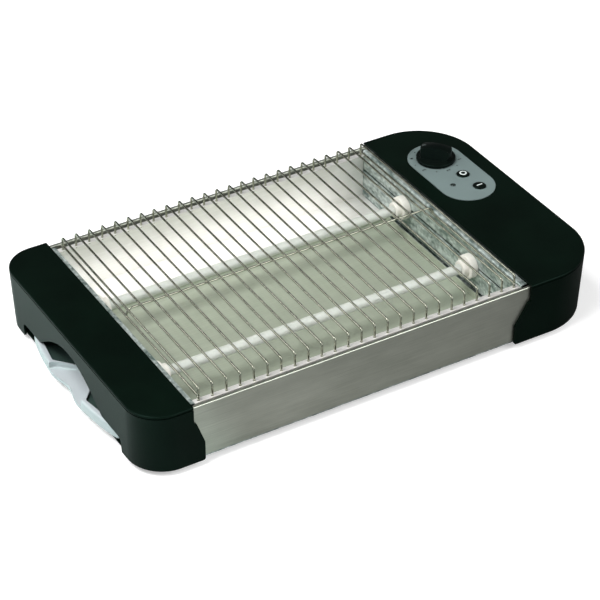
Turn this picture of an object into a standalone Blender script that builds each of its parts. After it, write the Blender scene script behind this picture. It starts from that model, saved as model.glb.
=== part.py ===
"""Flat bread toaster: a steel-sided heating chamber between two moulded end caps.

A wire rack lies over two quartz tube heaters. The right cap carries the timer knob, the stop
and start buttons and the indicator lamp. The crumb tray slides out through the left cap.

Lengths are in metres. X runs along the toaster towards the controls, Y runs to the back and
Z up. The origin is on the table, under the middle of the body.
"""

import math

import bmesh
import bpy
from mathutils import Matrix, Vector

# Fits and cuts
SEAT_GAP = 0.0003
CUT_OVERRUN = 0.004
MERGE_DISTANCE = 0.00001

# Chamber and body
STEEL_DEPTH = 0.250
SHEET = 0.0007
FOOT_HEIGHT = 0.0050
CAP_HEIGHT = 0.0535

# End caps
LEFT_CAP_WIDTH = 0.0435
RIGHT_CAP_WIDTH = 0.0785
LEFT_CORNER_RADIUS = 0.028
RIGHT_CORNER_SHARE = 0.6752
CAP_WALL = 0.0022
LAP_THICKNESS = 0.0044
LAP_CORNER_RADIUS = 0.0020
LAP_SHOULDER = 0.0018
CAP_TOP_FILLET = 0.0030
CAP_DRAFT = 0.0015
CORNER_GROWTH = 0.0030
LEFT_FLARE = 0.0090
RIGHT_FLARE = 0.0140
FLARE_TOP_DROP = 0.0155
FLARE_BOTTOM_DROP = 0.0360

# Raised lower edge and finger pocket of the left cap
NOTCH_SIDE_INSET = 0.0405
NOTCH_HEIGHT = 0.0130
NOTCH_CORNER_RADIUS = 0.005
ARCH_HALF_WIDTH = 0.0562
ARCH_RISE = 0.0253
ARCH_POWER = 1.15
POCKET_DEPTH = 0.018
POCKET_WALL = 0.0018
POCKET_BACK_SHARE = 0.94
POCKET_LIFT = 0.0002

# Steel walls
STEEL_FLANGE = 0.0030
FLANGE_TURN_DOWN = 0.0022
STEEL_HEM = 0.0070
STEEL_OVERLAP = 0.0060

# Base and bottom covers
COVER_RISE = 0.0006
COVER_THICKNESS = 0.0012
BASE_RIB_HALF_WIDTH = 0.0025
BASE_RIB_INSET = 0.0225

# Reflectors
REFLECTOR_INSET = 0.0060
REFLECTOR_LIP = 0.0050
LIP_DROP = 0.0018
REFLECTOR_FLOOR_RISE = 0.0032
TRAY_CHANNEL_INSET = 0.0475
REFLECTOR_SHEET = 0.0006
LEG_HOLE_DEPTH = 0.0024

# End plates
END_PLATE_INSET = 0.0045
END_PLATE_SHEET = 0.0008
END_PLATE_FLANGE = 0.0085

# Heaters
TUBE_DEPTH_SHARE = 0.204
TUBE_DROP = 0.0204
TUBE_RADIUS = 0.00425
TUBE_BORE_RADIUS = 0.0031
TUBE_SEAT = 0.0070
COIL_RADIUS = 0.0026
PIN_RADIUS = 0.0012
PIN_REACH = 0.0070
CERAMIC_NOSE_RADIUS = 0.0070
CERAMIC_NOSE_LENGTH = 0.0050
CERAMIC_DISC_RADIUS = 0.0105
CERAMIC_DISC_LENGTH = 0.0070
CERAMIC_EDGE = 0.0010
CERAMIC_NECK_RADIUS = 0.0055
CERAMIC_NECK_LENGTH = 0.0035
STRAP_HALF_WIDTH = 0.0040
STRAP_THICKNESS = 0.0010
LEAD_RADIUS = 0.0013
LEAD_BEND = 0.0040
LEAD_SPACING = 0.0120

# Rack
WIRE_COUNT = 25
WIRE_PITCH = 0.012
RACK_END_GAP = 0.010
WIRE_RADIUS = 0.0009
WIRE_BEND_RADIUS = 0.0025
RACK_INSET = 0.0027
RACK_RISE = 0.0102
LEG_DEPTH = 0.0040
WELD_SINK = 0.0003
SIDE_WIRE_RISE = 0.0011
CROSS_WIRE_BEND = 0.0060

# Crumb tray and handle
TRAY_SHEET = 0.0008
TRAY_WALL_HEIGHT = 0.0060
TRAY_RISE = 0.0014
TRAY_CLEARANCE = 0.0008
TRAY_END_GAP = 0.0030
HANDLE_THICKNESS = 0.0093
HANDLE_SIDE_INSET = 0.0025
HANDLE_OVERHANG = 0.0050
HANDLE_LOBE = 0.0100
HANDLE_BOW_POWER = 0.8
HANDLE_WAIST = 0.0042
HANDLE_WAIST_HALF_WIDTH = 0.024
HANDLE_DEPTH = 0.0165
HANDLE_BAR = 0.0049
HANDLE_TIP_BAR = 0.0042
WELL_FLOOR = 0.0012
HANDLE_BACK_BAR = 0.0050
WEB_HALF_WIDTH = 0.0115
WEB_FOOT_HALF_WIDTH = 0.030
HOLE_END_INSET = 0.015
HOLE_CORNER_RADIUS = 0.0025
HANDLE_BEVEL = 0.0006
DISH_BAND = 0.0016
DISH_FLOOR = 0.0022
DISH_RISE = 0.0036

# Feet, posts and screws
FOOT_RADIUS = 0.009
FOOT_EDGE = 0.0011
FOOT_STEM_RADIUS = 0.003
FOOT_STEM_LENGTH = 0.009
POST_RADIUS = 0.0055
LEFT_FOOT_INSET = 0.0225
LEFT_FOOT_SIDE_INSET = 0.0235
RIGHT_FOOT_INSET = 0.031
RIGHT_FOOT_SIDE_INSET = 0.0305
SCREW_POST_RADIUS = 0.0035
SCREW_POST_OFFSET = 0.0085
SCREW_SIDE_INSET = 0.035
SCREW_HEAD_RADIUS = 0.0030
SCREW_HEAD_HEIGHT = 0.0016
SCREW_CROWN_RADIUS = 0.0027
SCREW_SHANK_RADIUS = 0.0013
SCREW_LENGTH = 0.0100
SCREW_TIP_GAP = 0.0012

# Control panel
PANEL_WIDTH = 0.049
PANEL_LENGTH = 0.097
PANEL_CENTRE_SHARE = 0.4968
PANEL_REAR_INSET = 0.080
PANEL_THICKNESS = 0.0013
PANEL_PROUD = 0.0004
ROUND_END_SHARE = 0.999
KNOB_RADIUS = 0.0172
KNOB_SKIRT_HEIGHT = 0.0045
KNOB_BODY_RADIUS = 0.0138
KNOB_HEIGHT = 0.0170
KNOB_BAR_HALF_WIDTH = 0.0040
KNOB_SCOOP_RADIUS = 0.016
KNOB_SCOOP_FLOOR = 0.0065
KNOB_POINTER_DEGREES = 132.0
KNOB_EDGE_ROUND = 0.0012
SHAFT_RADIUS = 0.0030
SHAFT_SEAT = 0.0080
BUSH_RADIUS = 0.0048
BUTTON_RADIUS = 0.0056
BUTTON_PROUD = 0.0014
BUTTON_CROWN = 0.0006
BUTTON_FLANGE_RADIUS = 0.0072
BUTTON_FLANGE_HEIGHT = 0.0012
BUTTON_STEM_RADIUS = 0.0022
BUTTON_TRAVEL = 0.0020
OFF_BUTTON_ACROSS = 0.0065
OFF_BUTTON_ALONG = -0.0087
START_BUTTON_ACROSS = 0.0082
START_BUTTON_ALONG = -0.0313
LENS_RADIUS = 0.0022
LENS_CROWN_RADIUS = 0.0013
LENS_CROWN = 0.0004
LENS_SHOULDER = 0.0003
LENS_FLANGE_RADIUS = 0.0035
LENS_ACROSS = -0.0102
LENS_ALONG = -0.0183

# Electronics in the right cap
BOARD_DROP = 0.0165
BOARD_THICKNESS = 0.0016
BOARD_LENGTH = 0.080
BOARD_END_GAPS = 0.0285
BOARD_HOLE_INSET = 0.0045
STUD_SINK = 0.0005
POT_HALF_WIDTH = 0.0085
POT_HEIGHT = 0.0060
SWITCH_HALF_WIDTH = 0.0031
SWITCH_HEIGHT = 0.0034
LAMP_RADIUS = 0.0025
LAMP_CROWN_RADIUS = 0.0018
LAMP_CROWN = 0.0007
RELAY_SIZE_X = 0.0150
RELAY_SIZE_Y = 0.0190
RELAY_HEIGHT = 0.0105
RELAY_INSET = 0.0090
TRANSFORMER_SIZE_X = 0.0300
TRANSFORMER_SIZE_Y = 0.0340
TRANSFORMER_HEIGHT = 0.0170
TRANSFORMER_LIMB = 0.0060
TRANSFORMER_YOKE = 0.0034
TERMINAL_SIZE_X = 0.0180
TERMINAL_SIZE_Y = 0.0240
TERMINAL_HEIGHT = 0.0120
TERMINAL_GROOVE = 0.0040
TERMINAL_OFFSET = 0.040
GLAND_RADIUS = 0.0060
GLAND_FLANGE_RADIUS = 0.0080
GLAND_FLANGE = 0.0020
GLAND_EDGE = 0.0005
GLAND_BORE_RADIUS = 0.0038
GLAND_LENGTH = 0.0120
GLAND_CORNER_GAP = 0.0010
GLAND_HEIGHT = 0.0170

# Facets and shading
SHARP_DEGREES = 35.0
BEVEL_DEGREES = 40.0
CORNER_STEPS = 8
FILLET_STEPS = 3
ARCH_STEPS = 20
POCKET_STEPS = 5
TURN_STEPS = 16
SMALL_TURN_STEPS = 12
WIRE_HOLE_STEPS = 6
BEND_STEPS = 2

# Levels and lengths worked out from the sizes above
REFLECTOR_Y = STEEL_DEPTH / 2 - REFLECTOR_INSET
RACK_HALF_DEPTH = REFLECTOR_Y - RACK_INSET
SCREW_Y = STEEL_DEPTH / 2 - SCREW_SIDE_INSET
TUBE_Y = STEEL_DEPTH * TUBE_DEPTH_SHARE
TRAY_CHANNEL_HALF_WIDTH = STEEL_DEPTH / 2 - TRAY_CHANNEL_INSET
BASE_RIB_Y = TRAY_CHANNEL_HALF_WIDTH - BASE_RIB_INSET
HANDLE_HALF_WIDTH = TRAY_CHANNEL_HALF_WIDTH - HANDLE_SIDE_INSET
HOLE_END_Y = HANDLE_HALF_WIDTH - HOLE_END_INSET
LOBE_SHARE = (1 - (HANDLE_WAIST_HALF_WIDTH / HANDLE_HALF_WIDTH) ** 2) ** HANDLE_BOW_POWER
HANDLE_REACH = HANDLE_OVERHANG - HANDLE_LOBE * (1 - LOBE_SHARE)
CHAMBER_X = (LEFT_CAP_WIDTH + HANDLE_REACH - RIGHT_CAP_WIDTH) / 2
CHAMBER_HALF = (WIRE_COUNT - 1) * WIRE_PITCH / 2 + RACK_END_GAP
LEFT_WALL_X = CHAMBER_X - CHAMBER_HALF - LEFT_CAP_WIDTH
CAP_HALF_DEPTH = STEEL_DEPTH / 2 + SEAT_GAP + CAP_WALL
NOTCH_HALF_WIDTH = CAP_HALF_DEPTH - NOTCH_SIDE_INSET
LEFT_FOOT_Y = CAP_HALF_DEPTH - LEFT_FOOT_SIDE_INSET
RIGHT_FOOT_Y = CAP_HALF_DEPTH - RIGHT_FOOT_SIDE_INSET
RIGHT_CORNER_RADIUS = RIGHT_CAP_WIDTH * RIGHT_CORNER_SHARE
BOARD_WIDTH = RIGHT_CAP_WIDTH - BOARD_END_GAPS
CAP_TOP = FOOT_HEIGHT + CAP_HEIGHT
CAP_UNDERSIDE = CAP_TOP - CAP_WALL
STEEL_TOP = CAP_UNDERSIDE - SEAT_GAP
LIP_TOP = STEEL_TOP - LIP_DROP
COVER_BOTTOM = FOOT_HEIGHT + COVER_RISE
COVER_TOP = COVER_BOTTOM + COVER_THICKNESS
STEEL_BOTTOM = COVER_TOP + SEAT_GAP
TRAY_BOTTOM = COVER_TOP + TRAY_RISE
TRAY_TOP = TRAY_BOTTOM + TRAY_WALL_HEIGHT
REFLECTOR_FLOOR = COVER_TOP + REFLECTOR_FLOOR_RISE
TUBE_Z = STEEL_TOP - TUBE_DROP
PLATE_OFFSET = CHAMBER_HALF - END_PLATE_INSET
NOTCH_TOP = FOOT_HEIGHT + NOTCH_HEIGHT
RACK_TOP = STEEL_TOP + RACK_RISE
PANEL_TOP = CAP_TOP + PANEL_PROUD
BOARD_TOP = CAP_UNDERSIDE - BOARD_DROP + BOARD_THICKNESS
BOARD_BOTTOM = BOARD_TOP - BOARD_THICKNESS
LEFT = -1
RIGHT = 1
FRONT = -1
REAR = 1


def clear_scene():
    """Removes whatever objects the file holds."""
    for item in list(bpy.data.objects):
        bpy.data.objects.remove(item, do_unlink=True)


def new_collection(name):
    """Makes a collection under the scene's own."""
    collection = bpy.data.collections.new(name)
    bpy.context.scene.collection.children.link(collection)
    return collection


def make_material(name, colour, roughness, metallic=0.0):
    """Makes a Principled material with one colour."""
    material = bpy.data.materials.new(name)
    material.use_nodes = True
    shader = material.node_tree.nodes["Principled BSDF"]
    shader.inputs["Base Color"].default_value = (*colour, 1.0)
    shader.inputs["Roughness"].default_value = roughness
    shader.inputs["Metallic"].default_value = metallic
    material.diffuse_color = (*colour, 1.0)
    return material


def edge_x(side):
    """Where a cap's inner edge lies: side is LEFT or RIGHT."""
    return CHAMBER_X + side * CHAMBER_HALF


def arc_points(centre, radius, start, end, steps):
    """Points on an arc, both ends included."""
    points = []
    for index in range(steps + 1):
        angle = start + (end - start) * index / steps
        points.append((centre[0] + radius * math.cos(angle), centre[1] + radius * math.sin(angle)))
    return points


def rounded_outline(corners, steps=CORNER_STEPS):
    """Turns corners (x, y, radius) into an outline whose corners are arcs."""
    outline = []
    count = len(corners)
    for index, (x, y, radius) in enumerate(corners):
        here = Vector((x, y))
        if radius <= 0:
            outline.append((x, y))
            continue
        before = (Vector(corners[index - 1][:2]) - here).normalized()
        after = (Vector(corners[(index + 1) % count][:2]) - here).normalized()
        half_angle = before.angle(after) / 2
        centre = here + (before + after).normalized() * (radius / math.sin(half_angle))
        start = here + before * (radius / math.tan(half_angle)) - centre
        sweep = math.pi - 2 * half_angle
        turn = 1 if before.x * after.y - before.y * after.x < 0 else -1
        first = math.atan2(start.y, start.x)
        outline.extend(arc_points(centre, radius, first, first + turn * sweep, steps))
    return outline


def mesh_from_curve(curve):
    """Turns a curve into a closed mesh, with its caps welded on."""
    holder = bpy.data.objects.new("curve_holder", curve)
    bpy.context.scene.collection.objects.link(holder)
    graph = bpy.context.evaluated_depsgraph_get()
    mesh = bpy.data.meshes.new_from_object(holder.evaluated_get(graph))
    bpy.data.objects.remove(holder, do_unlink=True)
    bpy.data.curves.remove(curve)
    shape = bmesh.new()
    shape.from_mesh(mesh)
    bmesh.ops.remove_doubles(shape, verts=shape.verts, dist=MERGE_DISTANCE)
    bmesh.ops.recalc_face_normals(shape, faces=shape.faces)
    shape.to_mesh(mesh)
    shape.free()
    return mesh


PLANES = {
    "XY": Matrix(((1, 0, 0, 0), (0, 1, 0, 0), (0, 0, 1, 0), (0, 0, 0, 1))),
    "YZ": Matrix(((0, 0, 1, 0), (1, 0, 0, 0), (0, 1, 0, 0), (0, 0, 0, 1))),
    "XZ": Matrix(((1, 0, 0, 0), (0, 0, -1, 0), (0, 1, 0, 0), (0, 0, 0, 1))),
}
PLANE_NORMALS = {"XY": Vector((0, 0, 1)), "YZ": Vector((1, 0, 0)), "XZ": Vector((0, 1, 0))}


def prism(outlines, low, high, plane="XY"):
    """Extrudes flat outlines, the later ones being holes, from low to high across a plane."""
    curve = bpy.data.curves.new("outline", "CURVE")
    curve.dimensions = "2D"
    curve.fill_mode = "BOTH"
    curve.extrude = (high - low) / 2
    for outline in outlines:
        spline = curve.splines.new("POLY")
        spline.points.add(len(outline) - 1)
        for point, (x, y) in zip(spline.points, outline):
            point.co = (x, y, 0.0, 1.0)
        spline.use_cyclic_u = True
    mesh = mesh_from_curve(curve)
    mesh.transform(PLANES[plane])
    mesh.transform(Matrix.Translation(PLANE_NORMALS[plane] * ((low + high) / 2)))
    return mesh


def box(low, high):
    """A box between two corners."""
    shape = bmesh.new()
    bmesh.ops.create_cube(shape, size=1.0)
    size = Vector(high) - Vector(low)
    centre = (Vector(high) + Vector(low)) / 2
    bmesh.ops.scale(shape, vec=size, verts=shape.verts)
    bmesh.ops.translate(shape, vec=centre, verts=shape.verts)
    mesh = bpy.data.meshes.new("box")
    shape.to_mesh(mesh)
    shape.free()
    return mesh


def cylinder(radius, low, high, centre, axis="Z", steps=TURN_STEPS):
    """A cylinder along an axis, between low and high on it, at centre across it."""
    shape = bmesh.new()
    bmesh.ops.create_cone(shape, cap_ends=True, segments=steps, radius1=radius, radius2=radius,
                          depth=high - low)
    middle = (low + high) / 2
    if axis == "X":
        bmesh.ops.rotate(shape, verts=shape.verts, matrix=Matrix.Rotation(math.pi / 2, 3, "Y"))
        place = Vector((middle, centre[0], centre[1]))
    elif axis == "Y":
        bmesh.ops.rotate(shape, verts=shape.verts, matrix=Matrix.Rotation(math.pi / 2, 3, "X"))
        place = Vector((centre[0], middle, centre[1]))
    else:
        place = Vector((centre[0], centre[1], middle))
    bmesh.ops.translate(shape, vec=place, verts=shape.verts)
    mesh = bpy.data.meshes.new("cylinder")
    shape.to_mesh(mesh)
    shape.free()
    return mesh


def loft(rings):
    """A closed skin through rings of equally many points, capped at both ends."""
    shape = bmesh.new()
    loops = [[shape.verts.new(point) for point in ring] for ring in rings]
    count = len(loops[0])
    for lower, upper in zip(loops, loops[1:]):
        for index in range(count):
            following = (index + 1) % count
            shape.faces.new((lower[index], lower[following], upper[following], upper[index]))
    shape.faces.new(loops[0])
    shape.faces.new(loops[-1])
    bmesh.ops.recalc_face_normals(shape, faces=shape.faces)
    mesh = bpy.data.meshes.new("loft")
    shape.to_mesh(mesh)
    shape.free()
    return mesh


def wire(points, radius, resolution=1):
    """A round bar along a run of points."""
    curve = bpy.data.curves.new("wire", "CURVE")
    curve.dimensions = "3D"
    curve.bevel_depth = radius
    curve.bevel_resolution = resolution
    curve.use_fill_caps = True
    spline = curve.splines.new("POLY")
    spline.points.add(len(points) - 1)
    for point, place in zip(spline.points, points):
        point.co = (*place, 1.0)
    return mesh_from_curve(curve)


def smooth_by_angle(mesh):
    """Shades a mesh smooth, with its sharp edges kept."""
    mesh.shade_smooth()
    mesh.set_sharp_from_angle(angle=math.radians(SHARP_DEGREES))


class Builder:
    """Keeps the two collections, and adds pieces, cuts and joints between shapes."""

    def __init__(self):
        self.parts = new_collection("flat_toaster")
        self.cutters = new_collection("cutters")

    def piece(self, name, mesh, material):
        """Adds a finished sub-part."""
        smooth_by_angle(mesh)
        mesh.materials.clear()
        mesh.materials.append(material)
        item = bpy.data.objects.new(name, mesh)
        self.parts.objects.link(item)
        return item

    def turned(self, name, profile, material, place, axis="Z", steps=TURN_STEPS, closed=False,
               angle=0.0):
        """Adds a piece turned about an axis through place, from (radius, height) points."""
        item = self.piece(name, profile_mesh(profile, closed), material)
        item.location = place
        if axis == "X":
            item.rotation_euler = (0.0, math.pi / 2, 0.0)
        elif axis == "-X":
            item.rotation_euler = (0.0, -math.pi / 2, 0.0)
        elif axis == "Y":
            item.rotation_euler = (-math.pi / 2, 0.0, 0.0)
        else:
            item.rotation_euler = (0.0, 0.0, angle)
        add_screw(item, steps)
        return item

    def helper(self, mesh, name):
        """Adds a shape that only serves a Boolean."""
        item = bpy.data.objects.new(name, mesh)
        item.hide_render = True
        item.display_type = "WIRE"
        self.cutters.objects.link(item)
        return item

    def boolean(self, target, mesh, operation, name):
        """Cuts or joins a shape to a piece."""
        helper = self.helper(mesh, target.name + "_" + name)
        modifier = target.modifiers.new(name, "BOOLEAN")
        modifier.operation = operation
        modifier.object = helper
        return helper

    def cut(self, target, mesh, name):
        """Takes a shape out of a piece."""
        return self.boolean(target, mesh, "DIFFERENCE", name)

    def join(self, target, mesh, name):
        """Adds a shape to a piece."""
        return self.boolean(target, mesh, "UNION", name)


def profile_mesh(profile, closed):
    """A run of edges for turning: radius along X, height along Z."""
    mesh = bpy.data.meshes.new("profile")
    points = [(radius, 0.0, height) for radius, height in profile]
    edges = [(index, index + 1) for index in range(len(points) - 1)]
    if closed:
        edges.append((len(points) - 1, 0))
    mesh.from_pydata(points, edges, [])
    return mesh


def add_screw(item, steps):
    """Turns a profile through a full circle."""
    modifier = item.modifiers.new("turn", "SCREW")
    modifier.axis = "Z"
    modifier.angle = 2 * math.pi
    modifier.steps = steps
    modifier.render_steps = steps
    modifier.use_merge_vertices = True
    modifier.merge_threshold = MERGE_DISTANCE
    modifier.use_smooth_shade = True


def add_bevel(item, width, segments=2):
    """Rounds a piece's sharp edges."""
    modifier = item.modifiers.new("round", "BEVEL")
    modifier.width = width
    modifier.segments = segments
    modifier.limit_method = "ANGLE"
    modifier.angle_limit = math.radians(BEVEL_DEGREES)
    modifier.use_clamp_overlap = True


def cap_ring(side, width, radius, height, inset_end, inset_sides, inner_reach=0.0):
    """One level of a cap's plan outline: straight inner edge, two round outer corners."""
    inner = edge_x(side) - side * inner_reach
    outer = edge_x(side) + side * (width - inset_end)
    half = CAP_HALF_DEPTH - inset_sides
    corner = radius - max(inset_end, inset_sides)
    outline = rounded_outline([(inner, -half, 0), (outer, -half, corner), (outer, half, corner),
                               (inner, half, 0)])
    return [(x, y, height) for x, y in outline]


def trimmed(outline, side, limit):
    """The part of a cap's plan outline that lies beyond a line across the toaster."""
    kept = []
    for (x, y), (next_x, next_y) in zip(outline, outline[1:] + outline[:1]):
        if side * (x - limit) >= 0:
            kept.append((x, y))
        if (x - limit) * (next_x - limit) < 0:
            share = (limit - x) / (next_x - x)
            kept.append((limit, y + (next_y - y) * share))
    return kept


def cap_outer(side, width, radius):
    """A cap's outside: walls that draw in to the foot, wider corners there, a rounded top edge."""
    foot_radius = radius + CORNER_GROWTH
    rings = [cap_ring(side, width, foot_radius, FOOT_HEIGHT, CAP_DRAFT, 0.0),
             cap_ring(side, width, radius, CAP_TOP - CAP_TOP_FILLET, 0.0, 0.0)]
    for step in range(1, FILLET_STEPS + 1):
        angle = step * math.pi / 2 / FILLET_STEPS
        inset = CAP_TOP_FILLET * (1 - math.cos(angle))
        height = CAP_TOP - CAP_TOP_FILLET * (1 - math.sin(angle))
        rings.append(cap_ring(side, width, radius, height, inset, inset))
    return loft(rings)


def cap_cavity(side, width, radius, flare):
    """The hollow of a cap, open below and towards the chamber."""
    reach = flare + CUT_OVERRUN
    foot_radius = radius + CORNER_GROWTH
    rings = [cap_ring(side, width, foot_radius, FOOT_HEIGHT - CUT_OVERRUN, CAP_WALL + CAP_DRAFT,
                      CAP_WALL, reach),
             cap_ring(side, width, radius, CAP_UNDERSIDE, CAP_WALL, CAP_WALL, reach)]
    return loft(rings)


def flare_outline(side, flare):
    """The stepped lower edge with which a cap laps over the steel wall."""
    edge = edge_x(side)
    root = edge + side * LAP_THICKNESS
    reach = edge - side * flare
    knee = CAP_TOP - FLARE_BOTTOM_DROP
    shoulder = CAP_TOP - FLARE_TOP_DROP
    return rounded_outline([(root, FOOT_HEIGHT, 0), (reach, FOOT_HEIGHT, LAP_CORNER_RADIUS),
                            (reach, knee, LAP_CORNER_RADIUS),
                            (edge - side * LAP_SHOULDER, shoulder, LAP_CORNER_RADIUS),
                            (root, shoulder, 0)], FILLET_STEPS)


def add_cap_shell(build, name, side, width, radius, flare, material):
    """A moulded end cap: outer form, stepped edges and hollow."""
    cap = build.piece(name, cap_outer(side, width, radius), material)
    for end in (FRONT, REAR):
        inner = end * (CAP_HALF_DEPTH - LAP_THICKNESS)
        outer = end * CAP_HALF_DEPTH
        lap = prism([flare_outline(side, flare)], min(inner, outer), max(inner, outer), "XZ")
        build.join(cap, lap, "front_lap" if end == FRONT else "rear_lap")
    build.cut(cap, cap_cavity(side, width, radius, flare), "hollow")
    return cap


def draft_at(height):
    """How far the end wall has drawn in at a height."""
    return CAP_DRAFT * (CAP_TOP - height) / CAP_HEIGHT


def bell_ring(depth, share, margin, bottom):
    """The finger pocket's arched section at a depth, drawn in by a share of its size."""
    half = (ARCH_HALF_WIDTH + margin) * share
    rise = (ARCH_RISE + margin) * share
    flat = [(-half, bottom), (half, bottom)]
    for index in range(ARCH_STEPS + 1):
        y = half - 2 * half * index / ARCH_STEPS
        height = rise * max(0.0, 1 - (y / half) ** 2) ** ARCH_POWER
        flat.append((y, NOTCH_TOP + height + POCKET_LIFT))
    return [(LEFT_WALL_X + depth + draft_at(z), y, z) for y, z in flat]


def pocket_solid(start, end, margin, bottom):
    """The finger pocket as a solid that draws in towards its back."""
    rings = []
    for index in range(POCKET_STEPS + 1):
        depth_share = index / POCKET_STEPS
        size_share = math.sqrt(1 - (depth_share * POCKET_BACK_SHARE) ** 2)
        rings.append(bell_ring(start + (end - start) * depth_share, size_share, margin, bottom))
    return loft(rings)


def post(x, y, radius):
    """A round post that hangs from a cap's top to its bottom cover."""
    return cylinder(radius, COVER_TOP + SEAT_GAP, CAP_UNDERSIDE + CAP_WALL / 2, (x, y),
                    steps=SMALL_TURN_STEPS)


def foot_places():
    """The four feet by name: the middle of each."""
    left_x = LEFT_WALL_X + LEFT_FOOT_INSET
    right_x = edge_x(RIGHT) + RIGHT_CAP_WIDTH - RIGHT_FOOT_INSET
    return {"front_left_foot": (left_x, -LEFT_FOOT_Y), "rear_left_foot": (left_x, LEFT_FOOT_Y),
            "front_right_foot": (right_x, -RIGHT_FOOT_Y), "rear_right_foot": (right_x, RIGHT_FOOT_Y)}


def screw_places():
    """The four base screws by name: the middle of each."""
    places = {}
    for side, side_name in ((LEFT, "left"), (RIGHT, "right")):
        for end, end_name in ((FRONT, "front"), (REAR, "rear")):
            name = end_name + "_" + side_name + "_base_screw"
            places[name] = (edge_x(side) + side * SCREW_POST_OFFSET, end * SCREW_Y)
    return places


def add_posts(build, cap, side_name):
    """Gives a cap the posts that its feet and base screws go into."""
    for name, (x, y) in foot_places().items():
        if side_name in name:
            build.join(cap, post(x, y, POST_RADIUS), name + "_post")
            build.cut(cap, stem_hole(x, y, FOOT_STEM_RADIUS, FOOT_STEM_LENGTH), name + "_hole")
    for name, (x, y) in screw_places().items():
        if side_name in name:
            build.join(cap, post(x, y, SCREW_POST_RADIUS), name + "_post")
            build.cut(cap, stem_hole(x, y, SCREW_SHANK_RADIUS, SCREW_LENGTH), name + "_hole")


def stem_hole(x, y, radius, length):
    """A blind hole up from below the covers, a clearance wider than what goes in."""
    return cylinder(radius + SEAT_GAP, FOOT_HEIGHT - CUT_OVERRUN, COVER_TOP + length, (x, y),
                    steps=SMALL_TURN_STEPS)


def build_left_cap(build, material):
    """The left end cap, with its raised lower edge and finger pocket."""
    cap = add_cap_shell(build, "left_end_cap", LEFT, LEFT_CAP_WIDTH, LEFT_CORNER_RADIUS,
                        LEFT_FLARE, material)
    skin = pocket_solid(CAP_WALL / 2, POCKET_DEPTH + POCKET_WALL, POCKET_WALL, NOTCH_TOP)
    build.join(cap, skin, "pocket_skin")
    mouth = pocket_solid(-CUT_OVERRUN, POCKET_DEPTH, 0.0, FOOT_HEIGHT - CUT_OVERRUN)
    build.cut(cap, mouth, "pocket")
    corners = [(-NOTCH_HALF_WIDTH, FOOT_HEIGHT - CUT_OVERRUN, 0),
               (NOTCH_HALF_WIDTH, FOOT_HEIGHT - CUT_OVERRUN, 0),
               (NOTCH_HALF_WIDTH, NOTCH_TOP, NOTCH_CORNER_RADIUS),
               (-NOTCH_HALF_WIDTH, NOTCH_TOP, NOTCH_CORNER_RADIUS)]
    notch = prism([rounded_outline(corners)], LEFT_WALL_X - CUT_OVERRUN,
                  LEFT_WALL_X + CAP_DRAFT + CAP_WALL + CUT_OVERRUN, "YZ")
    build.cut(cap, notch, "raised_edge")
    add_posts(build, cap, "left")


def panel_centre():
    """The middle of the control panel."""
    return edge_x(RIGHT) + RIGHT_CAP_WIDTH * PANEL_CENTRE_SHARE, CAP_HALF_DEPTH - PANEL_REAR_INSET


def knob_centre():
    """The knob stands at the middle of the panel's rear end arc."""
    x, y = panel_centre()
    return x, y + PANEL_LENGTH / 2 - PANEL_WIDTH / 2


def button_places():
    """The two buttons by name: the middle of each."""
    x, y = panel_centre()
    return {"off_button": (x + OFF_BUTTON_ACROSS, y + OFF_BUTTON_ALONG),
            "start_button": (x + START_BUTTON_ACROSS, y + START_BUTTON_ALONG)}


def lens_place():
    """The middle of the indicator lens."""
    x, y = panel_centre()
    return x + LENS_ACROSS, y + LENS_ALONG


def stadium(margin):
    """The control panel's outline, grown by a margin."""
    x, y = panel_centre()
    half_width = PANEL_WIDTH / 2 + margin
    half_length = PANEL_LENGTH / 2 + margin
    round_end = half_width * ROUND_END_SHARE
    return rounded_outline([(x - half_width, y - half_length, round_end),
                            (x + half_width, y - half_length, round_end),
                            (x + half_width, y + half_length, round_end),
                            (x - half_width, y + half_length, round_end)], CORNER_STEPS)


def circle(centre, radius, steps=SMALL_TURN_STEPS):
    """A round outline."""
    return arc_points(centre, radius, 0.0, 2 * math.pi * (steps - 1) / steps, steps - 1)


def board_holes():
    """Where the board's two screws go."""
    x, y = panel_centre()
    reach_x = BOARD_WIDTH / 2 - BOARD_HOLE_INSET
    reach_y = BOARD_LENGTH / 2 - BOARD_HOLE_INSET
    return {"front_board_screw": (x - reach_x, y - reach_y),
            "rear_board_screw": (x + reach_x, y + reach_y)}


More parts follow.
